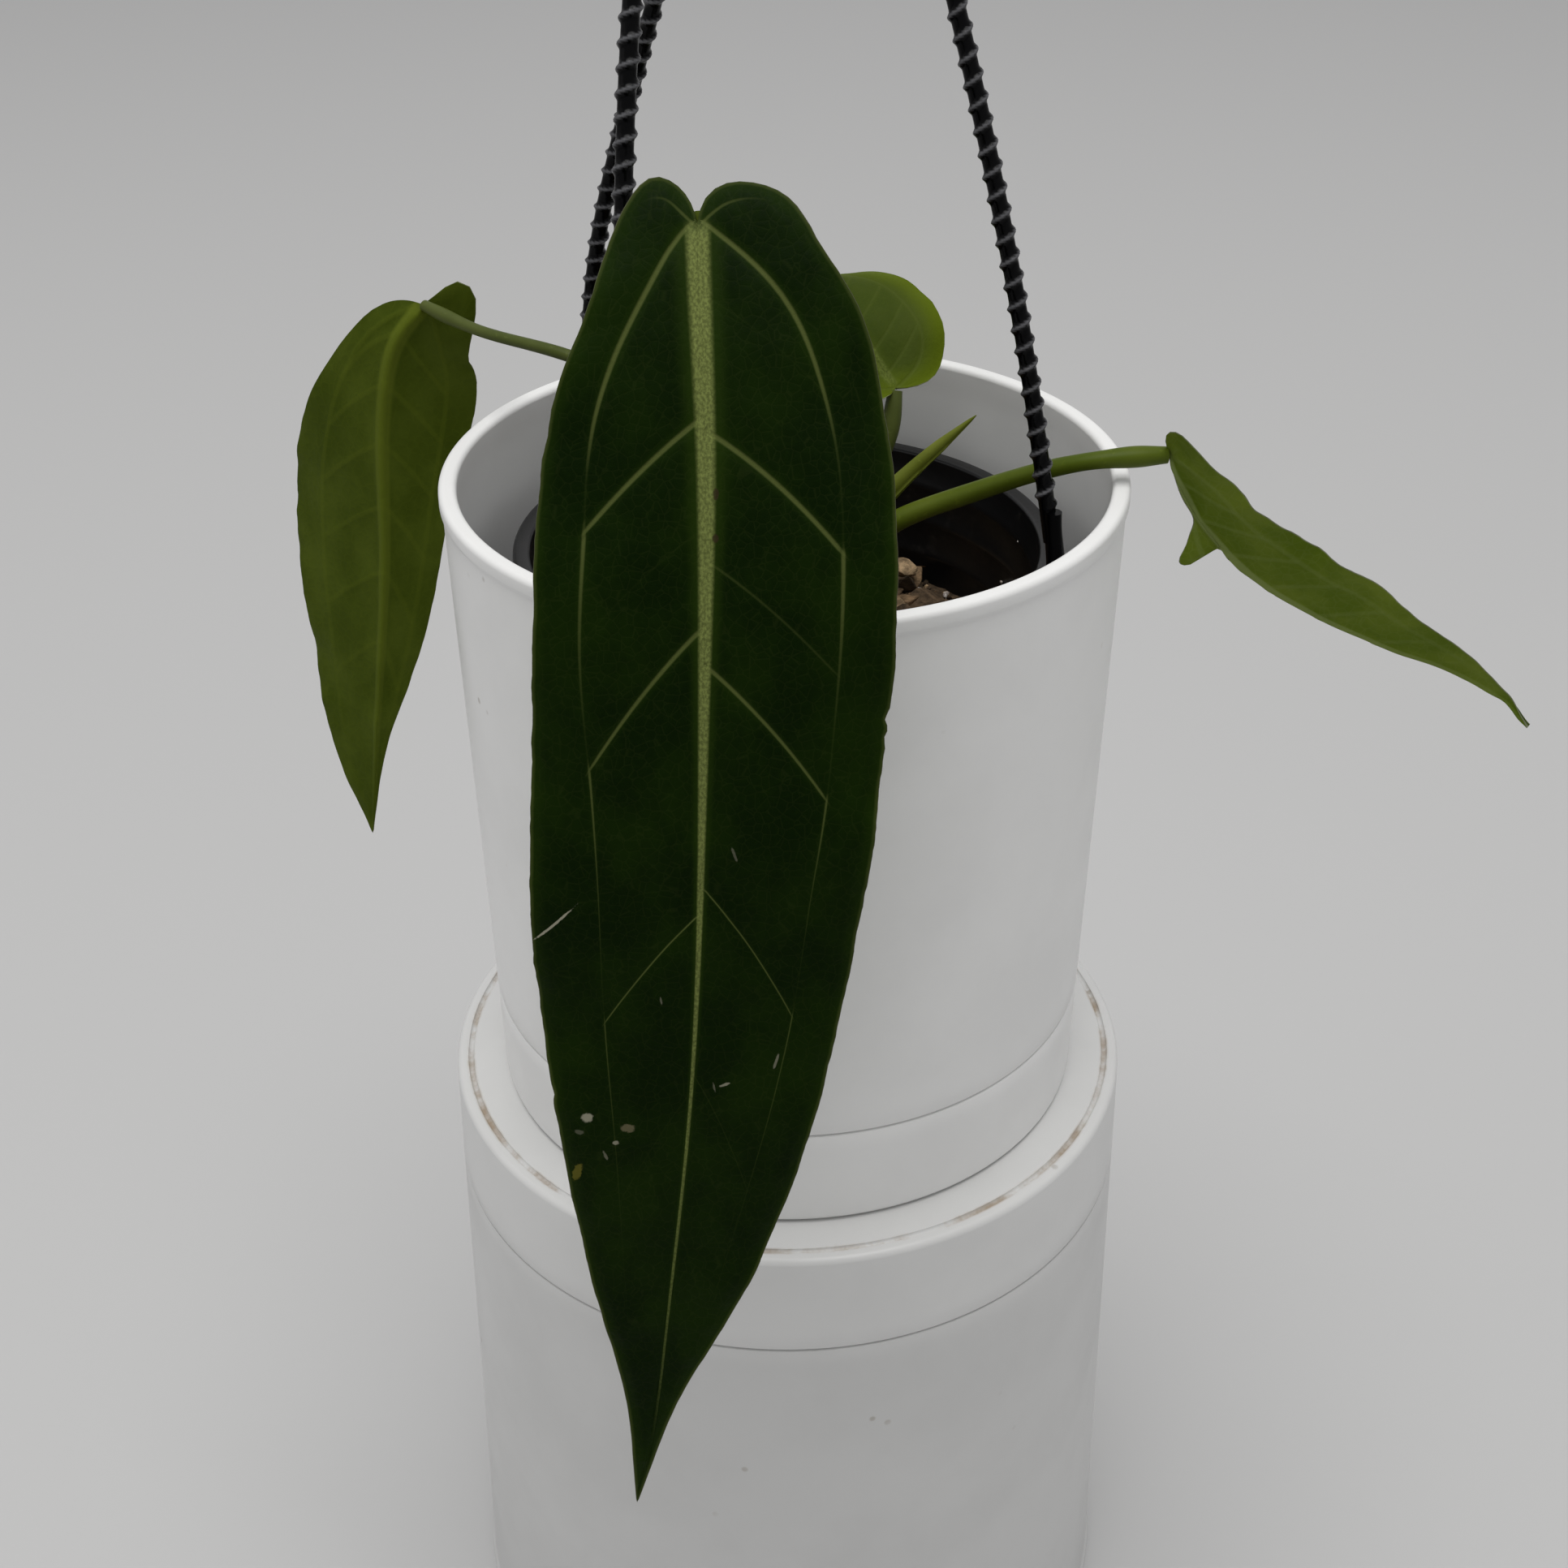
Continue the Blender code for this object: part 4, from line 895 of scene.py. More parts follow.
RIGHT_LOOKS = (
    SIDE_LOOKS[0],
    leaf_under("leaf_right_under", (0.085, 0.128, 0.0080), (0.135, 0.180, 0.0200),
               (0.210, 0.255, 0.085), 0.18),
    edge_look("leaf_margin_right", (0.20, 0.22, 0.12)),
)  # fmt: skip
YOUNG_LOOKS = (
    leaf_upper("leaf_young_upper", (0.038, 0.058, 0.006), (0.052, 0.072, 0.010), (0.082, 0.104, 0.022),
               0.60, (0.060, 0.085, 0.008), 0.30, (), (0.090, 0.125, 0.004), 7.0, 0.85),
    leaf_under("leaf_young_under", (0.07, 0.105, 0.010), (0.10, 0.14, 0.020), (0.17, 0.22, 0.05)),
    PALE_MARGIN,
)  # fmt: skip
# The relief of each blade, in mm.
RELIEF = ("quilt", "groove", "ridge", "welt", "keel", "ripple", "lump")
FRONT_SHAPE = dict(zip(RELIEF, (0.50, 0.16, 0.35, 0.30, 1.5, 0.8, 0.25)))
SIDE_SHAPE = dict(zip(RELIEF, (0.35, 0.12, 0.20, 0.22, 1.0, 0.7, 0.20)))
RIGHT_SHAPE = {**SIDE_SHAPE, "quilt": 0.45, "ripple": 0.9, "lump": 0.35}
YOUNG_SHAPE = dict(zip(RELIEF, (0.30, 0.10, 0.15, 0.20, 0.7, 0.5, 0.15)))
blade("front_blade", FRONT_LEAF, FRONT_LOOKS, FRONT_SHAPE, ("leaf_front",),
      nicks=((1, 0.315, 0.0007, 0.0008), (1, 0.33, 0.0005, 0.0006), (0, 0.61, 0.0004, 0.0010)))  # fmt: skip
blade("left_blade", LEFT_LEAF, SIDE_LOOKS, SIDE_SHAPE, ("leaf_left",), columns=26, slant=0.9)
blade("right_blade", RIGHT_LEAF, RIGHT_LOOKS, RIGHT_SHAPE, ("leaf_right",), 0.0007, 24, 0.0)
blade("back_blade", BACK_LEAF, YOUNG_LOOKS, YOUNG_SHAPE, ("leaf_back",), 0.0008, 24, 0.7)

# ---- stalks, crown and the new leaf ----
GAP = 0.0003
CROWN_R = 0.0090
CROWN_H = 0.0150
MIX = AXIS + Vector((0.0, 0.0, MIX_TOP))
CROWN_AT = MIX + Vector((0.0030, 0.0080, GAP))
OUT = COVER_R + 0.0005
PETIOLES = {
    "front": (RIM + Vector((0.0, -0.012, 0.004)), RIM + Vector((-0.008, -OUT + 0.014, 0.0640))),
    "left": (
        RIM + Vector((-0.0230, 0.0140, 0.0060)),
        RIM + Vector((-NURSERY_R + 0.0117, 0.0204, 0.0173)),
        RIM + Vector((-OUT + 0.0060, 0.0340, 0.0180)),
    ),
    "right": (
        MIX + Vector((0.0248, 0.0058, 0.0281)),
        RIM + Vector((0.0374, 0.0036, -0.0090)),
        RIM + Vector((OUT - 0.0101, -0.0088, 0.0046)),
    ),
    "back": (MIX + Vector((0.0105, 0.0205, 0.0194)), RIM + Vector((0.0219, 0.0214, -0.0063))),
}
PETIOLE_RADII = {
    "front": (0.0030, 0.0024, 0.0021),
    "left": (0.0022, 0.0015, 0.0012),
    "right": (0.0027, 0.0022, 0.0017),
    "back": (0.0021, 0.0018, 0.0015),
}
LEAVES = {"front": FRONT_LEAF, "left": LEFT_LEAF, "right": RIGHT_LEAF, "back": BACK_LEAF}
STALK = stalk_look("stalk_green", (0.060, 0.088, 0.004), (0.090, 0.118, 0.010))
STALK_PALE = stalk_look("stalk_pale", (0.052, 0.068, 0.012), (0.078, 0.096, 0.022))


def stalk(side, look):
    """A petiole from inside the crown to its blade, swollen below the blade and sheathing below."""
    leaf, middle, radii = LEAVES[side], PETIOLES[side], PETIOLE_RADII[side]
    joint = Vector(leaf["joint"])
    centre = CROWN_AT + Vector((0, 0, CROWN_H * 0.55))
    leave = (middle[0] - centre).normalized()
    start = centre + leave * (CROWN_R * 0.75)
    arrive = (joint - middle[-1]).normalized()
    path = smooth_path([start, *middle, joint - arrive * 0.0004], 150)
    total = along(path)[-1]

    def size(place, turns):
        t = place / total
        base = np.interp(t, np.linspace(0, 1, len(radii)), radii)
        knee = 1 + 0.34 * math.exp(-(((total - place) / 0.0085 - 0.75) ** 2) * 2.2)
        sheath = 1 + 0.38 * math.exp(-((place / 0.013) ** 2))
        wobble = 1 + 0.035 * noise.noise((place * 90, base * 3000, 1.0))
        channel = 1 - 0.10 * np.exp(-((np.sin(turns) - 1) ** 2) * 9)
        return base * knee * sheath * wobble * channel

    points, faces = sweep(path, size, 28)
    add_piece(f"{side}_stalk", points, faces, [look], None, 60, (f"petiole_{side}",))


for side, look in (("front", STALK), ("left", STALK_PALE), ("right", STALK), ("back", STALK_PALE)):
    stalk(side, look)


NEW_LEAF_RADII = (0.0017, 0.0020, 0.0021, 0.0014, 0.0004, 0.0001)


def rolled_leaf():
    """The new leaf, rolled up: a spiral section that opens a little, with its seam down one side."""
    start = CROWN_AT + Vector((CROWN_R * 0.45, 0.0035, CROWN_H - 0.0040))
    belly = MIX + Vector((0.0235, 0.0107, 0.0331))
    tip = MIX + Vector((0.0411, 0.0088, 0.0510))
    path = smooth_path((start, belly, tip), 90)
    total = along(path)[-1]

    def size(place, turns):
        t = place / total
        base = np.interp(t, (0, 0.25, 0.5, 0.8, 0.97, 1), NEW_LEAF_RADII)
        lap = (turns / (2 * np.pi) + 0.15 * t) % 1.0
        return base * (0.86 + 0.22 * lap)

    points, faces = sweep(path, size, 40)
    look = stalk_look("new_leaf_green", (0.100, 0.125, 0.010), (0.155, 0.180, 0.026))
    add_piece("rolled_leaf", points, faces, [look], None, 50, ("new_leaf_spike",))


rolled_leaf()


def crown_piece():
    """The short stem: a knobbly base with dry sheaths and root stubs round it."""
    rng = random.Random(5)
    parts = Parts()
    steps, rings = 40, 22
    points = []
    for i in range(rings + 1):
        t = i / rings
        r = CROWN_R * (1.02 - 0.25 * t) * math.sqrt(max(0.0, 1 - max(0.0, t - 0.55) ** 2 / 0.2025))
        for j in range(steps):
            turn = 2 * math.pi * j / steps
            lump = 1 + 0.16 * noise.noise((math.cos(turn) * 2.2, math.sin(turn) * 2.2, t * 4.0))
            z = -0.004 + t * (CROWN_H + 0.003)
            points.append((r * lump * math.cos(turn), r * lump * math.sin(turn), z))
    faces = tube_faces(rings + 1, steps)
    faces.append([rings * steps + j for j in range(steps)])
    faces.append(list(range(steps))[::-1])
    parts.add([Vector(p) + CROWN_AT for p in points], faces, 0.35)
    for i in range(7):
        turn = rng.uniform(0, 6.28)
        out = Vector((math.cos(turn), math.sin(turn), 0))
        foot = CROWN_AT + out * CROWN_R * 0.8 + Vector((0, 0, 0.005))
        far = CROWN_AT + out * CROWN_R * rng.uniform(1.5, 2.2)
        low = far + Vector((0, 0, -0.003))
        size = rng.uniform(0.0009, 0.0014)
        path = smooth_path((foot, (foot + far) / 2 + Vector((0, 0, 0.002)), low), 12)
        parts.add(*sweep(path, lambda _, turns: np.full(len(turns), size), 10), 0.6)
    for i in range(5):
        turn = rng.uniform(0, 6.28)
        out = Vector((math.cos(turn), math.sin(turn), 0))
        over = Vector((-math.sin(turn), math.cos(turn), 0))
        tall, wide = rng.uniform(0.012, 0.019), rng.uniform(0.0035, 0.0055)
        bract, bract_faces = [], []
        for layer in (0, 1):
            for a in range(9):
                t = a / 8
                for b in range(7):
                    u = b / 3 - 1
                    bow = CROWN_R * (0.96 + 0.12 * t * t) - 0.0030 * u * u * (1 - 0.5 * t)
                    bow += 0.00035 * layer
                    spread = wide * (1 - t**2.2) * u
                    bract.append(CROWN_AT + out * bow + over * spread + Vector((0, 0, 0.001 + tall * t)))
        for a in range(8):
            for b in range(6):
                q = [a * 7 + b, a * 7 + b + 1, (a + 1) * 7 + b + 1, (a + 1) * 7 + b]
                bract_faces.append(q)
                bract_faces.append([63 + k for k in q[::-1]])
        ring = [a * 7 for a in range(9)] + [56 + b for b in range(1, 7)]
        ring += [a * 7 + 6 for a in range(7, -1, -1)] + list(range(5, 0, -1))
        for p, q in zip(ring, ring[1:] + ring[:1]):
            bract_faces.append([p, q, q + 63, p + 63])
        parts.add(bract, bract_faces, 0.9)
    look = Look("crown_bark", (0.12, 0.09, 0.04), 0.75, Specular_IOR_Level=0.3)
    place = look.place()
    grain = look.noise(look.scaled(place, (1, 1, 0.3)), 700.0, 5.0, 0.65)
    tone = look.attribute("tone")
    body = look.mix(look.fade(tone, 0.3, 0.9), (0.060, 0.056, 0.018), (0.20, 0.13, 0.065))
    look.drive("Base Color", look.mix(look.fade(grain, 0.4, 0.7), body, (0.035, 0.022, 0.012)))
    look.drive("Normal", look.bump(grain, 0.0004, 0.7))
    looks = [look.material]
    made = add_piece("crown_and_roots", parts.points, parts.faces, looks, None, 40, ("stem_crown",))
    set_attribute(made, "tone", parts.tones)


crown_piece()


# ---- hanger ----
STRAND_CORE_R = 0.00166
STRAND_RIDGE_R = 0.00228
STRAND_PITCH = 0.0043
STRAND_RISE = 0.2220
STRAND_MEET_R = 0.0040
HANGER_LEAN = Vector((-0.0079, 0.0128, 0.0))
# Each strand's turn round the pot, its bow, how the bow changes on the way up, and its shift sideways.
STRANDS = {
    "right": (-22.8, 0.0071, -0.0008, 0.0),
    "back": (139.3, 0.0123, -0.0390, 0.0),
    "front": (240.2, 0.0150, -0.0008, 0.0010),
}
COLLAR_BASE = NURSERY_TOP + STRAND_RISE
COLLAR_R = 0.0075
COLLAR_H = 0.0120
HOOK_WIRE_R = 0.0021
HOOK_BEND_R = 0.0120
HOOK_SHANK = 0.0120
HANGER = strand_plastic()


def strand_course(turn, bow, skew, sideways):
    """The strand's centre line, from inside its clip to the collar."""
    out = Vector((math.cos(turn), math.sin(turn), 0.0))
    over = Vector((-math.sin(turn), math.cos(turn), 0.0))
    foot = AXIS + Vector((0, 0, NURSERY_TOP + 0.0100)) + out * (NURSERY_R + 0.0007) + over * sideways
    high = AXIS + HANGER_LEAN + Vector((0, 0, COLLAR_BASE + 0.002)) + out * STRAND_MEET_R
    shares = (0, 1 / 6, 1 / 3, 1 / 2, 2 / 3, 5 / 6, 1)
    return [foot.lerp(high, t) + out * (4 * (bow + skew * t) * t * (1 - t)) for t in shares]


def clip_piece(turn, sideways):
    """The flared tab under a strand: smooth from the last ridge down, widening to the rim and past it."""
    out = Vector((math.cos(turn), math.sin(turn), 0.0))
    over = Vector((-math.sin(turn), math.cos(turn), 0.0))
    inner = NURSERY_R + GAP
    steps, sides = 34, 32
    points, faces = [], []
    for i in range(steps):
        t = i / (steps - 1)
        drop = 0.0165 - 0.0315 * t
        half_wide = 0.00175 + 0.00215 * float(smoothstep(0.12, 0.85, t))
        thick = 0.00185 - 0.00070 * float(smoothstep(0.35, 0.75, t))
        if i == steps - 1:
            half_wide, thick = half_wide * 0.86, thick * 0.55
        square = 1.0 - 0.5 * float(smoothstep(0.1, 0.6, t))
        lean = 0.0016 * (1 - float(smoothstep(0.0, 0.5, t)))
        for j in range(sides):
            a = 2 * math.pi * j / sides
            c, s = math.cos(a), math.sin(a)
            x = math.copysign(abs(c) ** square, c) * half_wide
            y = math.copysign(abs(s) ** square, s) * thick
            centre_r = inner + thick + 0.0001 - lean
            level = Vector((0, 0, NURSERY_TOP + drop))
            points.append(AXIS + out * (centre_r + y) + over * (x + sideways) + level)
    for i in range(steps - 1):
        for j in range(sides):
            k = (j + 1) % sides
            faces.append([i * sides + k, i * sides + j, (i + 1) * sides + j, (i + 1) * sides + k])
    faces.append(list(range(sides)))
    faces.append([(steps - 1) * sides + j for j in range(sides)][::-1])
    barb_z = NURSERY_TOP - 0.0070 - GAP
    barb = [(inner + 0.0004, barb_z), (inner - 0.0010, barb_z - 0.0002), (inner + 0.0004, barb_z - 0.0024)]
    start = len(points)
    for edge in (-0.0024, 0.0024):
        points.extend(AXIS + out * r + over * edge + Vector((0, 0, z)) for r, z in barb)
    for face in ((0, 1, 2), (5, 4, 3), (0, 3, 4, 1), (1, 4, 5, 2), (2, 5, 3, 0)):
        faces.append([start + q for q in face])
    return points, faces


def strand(side):
    """A ribbed strand: one raised thread winds up it, from just above the clip."""
    degrees, bow, skew, sideways = STRANDS[side]
    turn = math.radians(degrees)
    path = smooth_path(strand_course(turn, bow, skew, sideways), 640)
    places = along(path)
    total = places[-1]
    sides = 30

    def thread(place, turns):
        wave = (1 + np.cos(turns + 2 * np.pi * place / STRAND_PITCH)) / 2
        end = 1 - smoothstep(total - 0.004, total - 0.001, place)
        return float(smoothstep(0.0065, 0.0085, place) * end) * wave**5

    def size(place, turns):
        return STRAND_CORE_R + (STRAND_RIDGE_R - STRAND_CORE_R) * thread(place, turns)

    parts = Parts()
    parts.add(*sweep(path, size, sides))
    turns = 2 * np.pi * np.arange(sides) / sides
    # Mask of the thread's crest, where the painted highlight goes.
    crest_highlight = np.concatenate([smoothstep(0.60, 0.97, thread(place, turns)) for place in places])
    parts.add(*clip_piece(turn, sideways))
    name, node = f"strand_{side}", f"hanger_strand_{side}"
    made = add_piece(name, parts.points, parts.faces, [HANGER], None, 50, (node,))
    set_attribute(made, "crest_highlight", np.concatenate([crest_highlight, np.zeros(len(parts.points) - len(crest_highlight))]))


for side in STRANDS:
    strand(side)


def collar_and_hook():
    centre = AXIS + HANGER_LEAN
    z = COLLAR_BASE
    profile = [(0.0, z + COLLAR_H), (COLLAR_R * 0.42, z + COLLAR_H)]
    profile += arc((COLLAR_R * 0.42, z + COLLAR_H - 0.0012), 0.0012, 90, 20, 6)
    profile += [(COLLAR_R * 0.80, z + COLLAR_H * 0.72), (COLLAR_R * 0.95, z + COLLAR_H * 0.45)]
    profile += arc((COLLAR_R - 0.0012, z + COLLAR_H * 0.30), 0.0012, 20, -60, 6)
    profile += [(COLLAR_R * 0.86, z + 0.0006), (COLLAR_R * 0.80, z), (0.0, z)]
    points, faces = lathe(profile, 72, centre)
    add_piece("collar", points, faces, [HANGER], None, 50, ("hanger_collar",))
    base = centre + Vector((0, 0, z + COLLAR_H - 0.001))
    middle = centre + Vector((0, 0, z + COLLAR_H + GAP + HOOK_SHANK + HOOK_BEND_R))
    course = [base, base + Vector((0, 0, HOOK_SHANK * 0.5))]
    for degrees in range(-90, 136, 25):
        a = math.radians(degrees)
        course.append(middle + Vector((math.cos(a), 0, math.sin(a))) * HOOK_BEND_R)
    path = smooth_path(course, 130)
    total = along(path)[-1]

    def size(place, turns):
        tip = math.sqrt(max(0.02, 1 - max(0.0, (place - total + 0.0021) / 0.0021) ** 2))
        return np.full(len(turns), HOOK_WIRE_R * tip)

    points, faces = sweep(path, size, 24)
    add_piece("hook", points, faces, [HANGER], None, 50, ("hanger_hook",))


collar_and_hook()


# ---- white pots and the nursery pot ----
def wall_radius(z, height, foot_r, rim_r):
    return foot_r + (rim_r - RIM_PROUD - foot_r) * z / height


def pot_profile(height, foot_r, rim_r, seam):
    """Section of a white pot above its saucer, with a rolled rim and a rounded lower edge."""
    roll = (RIM_W - RIM_LAND) / 2
    base = seam + SEAM_GAP
    under_rim = height - RIM_W * 1.1
    r_low = wall_radius(base, height, foot_r, rim_r)
    r_high = wall_radius(under_rim, height, foot_r, rim_r)
    floor = base + POT_WALL
    section = [(0.0, floor)]
    section += arc((r_low - POT_WALL - 0.003, floor + 0.003), 0.003, -90, 0, 8)
    section += [(r_high - POT_WALL, under_rim - 0.001)]
    section += arc((rim_r - RIM_W + roll, height - roll), roll, 180, 90, 12)
    section += arc((rim_r - roll, height - roll), roll, 90, 0, 12)
    section += [(rim_r, under_rim + 0.0013), (rim_r - 0.0001, under_rim + 0.0009)]
    section += [(r_high + 0.0001, under_rim + 0.0002), (r_high, under_rim - 0.0002)]
    section += [(r_low, base + 0.0007), (r_low - 0.0002, base + 0.0002), (r_low - 0.0007, base)]
    section += [(0.0, base)]
    return section


def saucer_profile(height, foot_r, rim_r, seam):
    """Section of the clip-on saucer, with a rounded foot edge and a groove round its underside."""
    r_top = wall_radius(seam, height, foot_r, rim_r)
    groove_out = foot_r - GROOVE_IN
    groove_mid = groove_out - GROOVE_W / 2
    section = [(0.0, SAUCER_WALL)]
    section += arc((foot_r - SAUCER_WALL - 0.002, SAUCER_WALL + 0.002), 0.002, -90, 0, 6)
    section += [(r_top - SAUCER_WALL, seam), (r_top - 0.0007, seam), (r_top - 0.0002, seam - 0.0002)]
    section += [(r_top, seam - 0.0007)]
    section += arc((foot_r - 0.0016, 0.0016), 0.0016, 0, -90, 10)
    section += [(groove_out + 0.0002, 0.0)]
    section += arc((groove_mid, 0.0), GROOVE_W / 2, 0, 180, 10)
    section += [(groove_mid - GROOVE_W / 2 - 0.0002, 0.0), (0.0, 0.0)]
    return section


def upside_down(profile, top):
    return [(x, top - z) for x, z in reversed(profile)]


def raised(profile, z):
    return [(x, h + z) for x, h in profile]


def filled(profile, longest=0.004):
    """The section with extra points on its long steps, so that the turned mesh is even."""
    dense = [profile[0]]
    for a, b in zip(profile, profile[1:]):
        count = max(1, round(math.dist(a, b) / longest))
        for i in range(1, count + 1):
            dense.append((a[0] + (b[0] - a[0]) * i / count, a[1] + (b[1] - a[1]) * i / count))
    return dense


def with_drains(points, faces, ring_r, hole_r, z, tall):
    """The turned mesh with its ring of drain holes cut out."""
    mesh = bpy.data.meshes.new("turned")
    mesh.from_pydata([tuple(p) for p in points], [], faces)
    body = bpy.data.objects.new("turned", mesh)
    work = bmesh.new()
    for i in range(6):
        turn = 2 * math.pi * i / 6
        where = Matrix.Translation(AXIS + Vector((ring_r * math.cos(turn), ring_r * math.sin(turn), z)))
        bmesh.ops.create_cone(
            work, cap_ends=True, segments=32, radius1=hole_r, radius2=hole_r, depth=tall, matrix=where
        )
    cutter_mesh = bpy.data.meshes.new("drains")
    work.to_mesh(cutter_mesh)
    work.free()
    cutter = bpy.data.objects.new("drains", cutter_mesh)
    for made in (body, cutter):
        bpy.context.scene.collection.objects.link(made)
    cut = body.modifiers.new("cut", "BOOLEAN")
    cut.operation = "DIFFERENCE"
    cut.object = cutter
    bpy.context.view_layer.update()
    done = bpy.data.meshes.new_from_object(body.evaluated_get(bpy.context.evaluated_depsgraph_get()))
    out = [v.co.copy() for v in done.vertices], [list(p.vertices) for p in done.polygons]
    for made in (body, cutter):
        bpy.data.objects.remove(made, do_unlink=True)
    for mesh_left in (mesh, cutter_mesh, done):
        bpy.data.meshes.remove(mesh_left)
    return out


def white_pots():
    riser_h = RISER_TOP - RISER_LOW.z
    cover_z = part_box("cover_pot_saucer")[0].z
    riser = (riser_h, RISER_FOOT_R, RISER_R, RISER_SEAM)
    cover = (COVER_TOP - cover_z, COVER_FOOT_R, COVER_R, COVER_SEAM)
    groove_r = RISER_FOOT_R - GROOVE_IN - GROOVE_W / 2
    wall = white_plastic("pot_white")
    # Stand wall and top: the same white darkened by tone as painted shade; the top also has dirt in its
    # groove.
    stand = white_plastic("stand_white_shaded", 0.76)
    dust_and_shade = white_plastic("stand_saucer_white_shaded", 0.86, groove_r, RISER_TOP, 0.85)
    pieces = (
        ("stand_wall", upside_down(pot_profile(*riser), riser_h), stand, "riser_pot"),
        ("stand_top", upside_down(saucer_profile(*riser), riser_h), dust_and_shade, "riser_pot_saucer"),
        ("cover_wall", raised(pot_profile(*cover), cover_z), wall, "cover_pot"),
        ("cover_foot", raised(saucer_profile(*cover), cover_z), wall, "cover_pot_saucer"),
    )
    drains = {
        "stand_wall": (RISER_FOOT_R * 0.6, riser_h - RISER_SEAM - POT_WALL / 2),
        "cover_wall": (COVER_FOOT_R * 0.6, cover_z + COVER_SEAM + SEAM_GAP + POT_WALL / 2),
    }
    for name, profile, look, node in pieces:
        points, faces = lathe(filled(profile))
        if name in drains:
            ring_r, z = drains[name]
            points, faces = with_drains(points, faces, ring_r, 0.0042, z, 0.012)
        add_piece(name, points, faces, [look], None, 38, (node,))


white_pots()

NURSERY_FOOT_R = 0.0430
NURSERY_WALL = 0.0012
NURSERY_LIP_H = 0.0070
NURSERY_LIP_W = 0.0026
NURSERY_Z = NURSERY_LOW.z


def nursery_inner(z):
    share = (z - NURSERY_Z) / (NURSERY_TOP - NURSERY_Z)
    return NURSERY_FOOT_R + (NURSERY_R - NURSERY_LIP_W - NURSERY_FOOT_R) * share - NURSERY_WALL


def nursery_pot():
    """The thin black pot: its wall has a shallow inner rib every few millimetres, and a rolled lip."""
    top, base = NURSERY_TOP, NURSERY_Z
    throat = NURSERY_R - NURSERY_LIP_W
    lip = top - NURSERY_LIP_H
    section = [(0.0, base + NURSERY_WALL), (nursery_inner(base) - 0.001, base + NURSERY_WALL)]
    section += [(nursery_inner(base + 0.004), base + 0.004)]
    z = base + 0.010
    while z < top - 0.006:
        r = nursery_inner(z)
        section += [(r, z - 0.0012), (r - 0.0003, z - 0.0004), (r - 0.0003, z + 0.0004), (r, z + 0.0012)]
        z += 0.0080
    section += [(throat - NURSERY_WALL, top - 0.0012)]
    section += arc((throat - NURSERY_WALL + 0.0008, top - 0.0008), 0.0008, 180, 90, 6)
    section += arc((NURSERY_R - 0.0008, top - 0.0008), 0.0008, 90, 0, 6)
    skirt = NURSERY_R - NURSERY_WALL
    under = top - NURSERY_WALL
    section += [(NURSERY_R, lip + 0.0003), (NURSERY_R - 0.0003, lip), (skirt + 0.0003, lip)]
    section += [(skirt, lip + 0.0003), (skirt, under - 0.0006)]
    section += [(skirt - 0.0006, under), (throat, under - 0.0008)]
    section += [(nursery_inner(lip) + NURSERY_WALL, lip), (NURSERY_FOOT_R, base + 0.001)]
    section += [(NURSERY_FOOT_R - 0.001, base), (0.0, base)]
    points, faces = lathe(filled(section, 0.005), 144)
    points, faces = with_drains(points, faces, NURSERY_FOOT_R * 0.72, 0.0036, base, 0.008)
    add_piece("inner_pot", points, faces, [black_plastic()], None, 45, ("nursery_pot",))


nursery_pot()


# ---- potting mix: a lumpy bed, bark chips and perlite ----
BARK = bark_look()
PERLITE = perlite_look()


def broken_piece(size, rng):
    """An angular broken piece: the hull of scattered points, its edges bevelled and roughened."""
    work = bmesh.new()
    for _ in range(18):
        a = Vector((rng.gauss(0, 1), rng.gauss(0, 1), rng.gauss(0, 1))).normalized()
        a *= 1 / max(abs(a.x), abs(a.y), abs(a.z)) ** 0.75 * rng.uniform(0.82, 1.0) * 0.5
        work.verts.new((a.x * size[0], a.y * size[1], a.z * size[2]))
    hull = bmesh.ops.convex_hull(work, input=work.verts[:])
    loose = [g for g in hull["geom_interior"] + hull["geom_unused"] if isinstance(g, bmesh.types.BMVert)]
    bmesh.ops.delete(work, geom=list(set(loose)), context="VERTS")
    bmesh.ops.bevel(work, geom=work.edges[:], offset=min(size) * 0.06, segments=1, affect="EDGES")
    bmesh.ops.triangulate(work, faces=work.faces[:])
    long_edges = [e for e in work.edges if e.calc_length() > max(size) * 0.22]
    bmesh.ops.subdivide_edges(work, edges=long_edges, cuts=1)
    seed = rng.uniform(0, 90)
    for vert in work.verts:
        rough = noise.noise(vert.co / max(size) * 4.5 + Vector((seed, 0, 0)))
        vert.co *= 1 + 0.16 * rough
    bmesh.ops.triangulate(work, faces=work.faces[:])
    work.verts.index_update()
    out = [v.co.copy() for v in work.verts], [[v.index for v in f.verts] for f in work.faces]
    work.free()
    return out


def laid(points, where, tilt):
    return [where + tilt @ p for p in points]


def random_turn(rng, tip):
    flat_turn = Matrix.Rotation(rng.uniform(0, 6.28), 3, "Z")
    lean = Matrix.Rotation(rng.gauss(0, tip), 3, "X") @ Matrix.Rotation(rng.gauss(0, tip), 3, "Y")
    return flat_turn @ lean


def bed_height(x, y):
    """How far the lumpy bed stands above or below the mix's level, in metres."""
    far = math.hypot(x, y) / nursery_inner(MIX_TOP)
    slope = 0.0025 * (1 - far**2) - 0.0012 * max(0.0, far - 0.8) / 0.2
    lumps = 0.0018 * noise.noise((x * 110, y * 110, 2.0))
    return slope - 0.0022 + lumps + 0.0009 * noise.noise((x * 320, y * 320, 5.0))


def on_bed(far, turn, lift):
    """A place on the bed, far from the pots' axis at a turn, and lift above its surface."""
    x, y = far * math.cos(turn), far * math.sin(turn)
    return AXIS + Vector((x, y, MIX_TOP + bed_height(x, y) + lift))


def in_box(node, rng):
    """A broken piece that fills a CAD node's box."""
    low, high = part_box(node)
    points, faces = broken_piece(high - low, rng)
    return laid(points, (low + high) / 2, Matrix.Identity(3)), faces


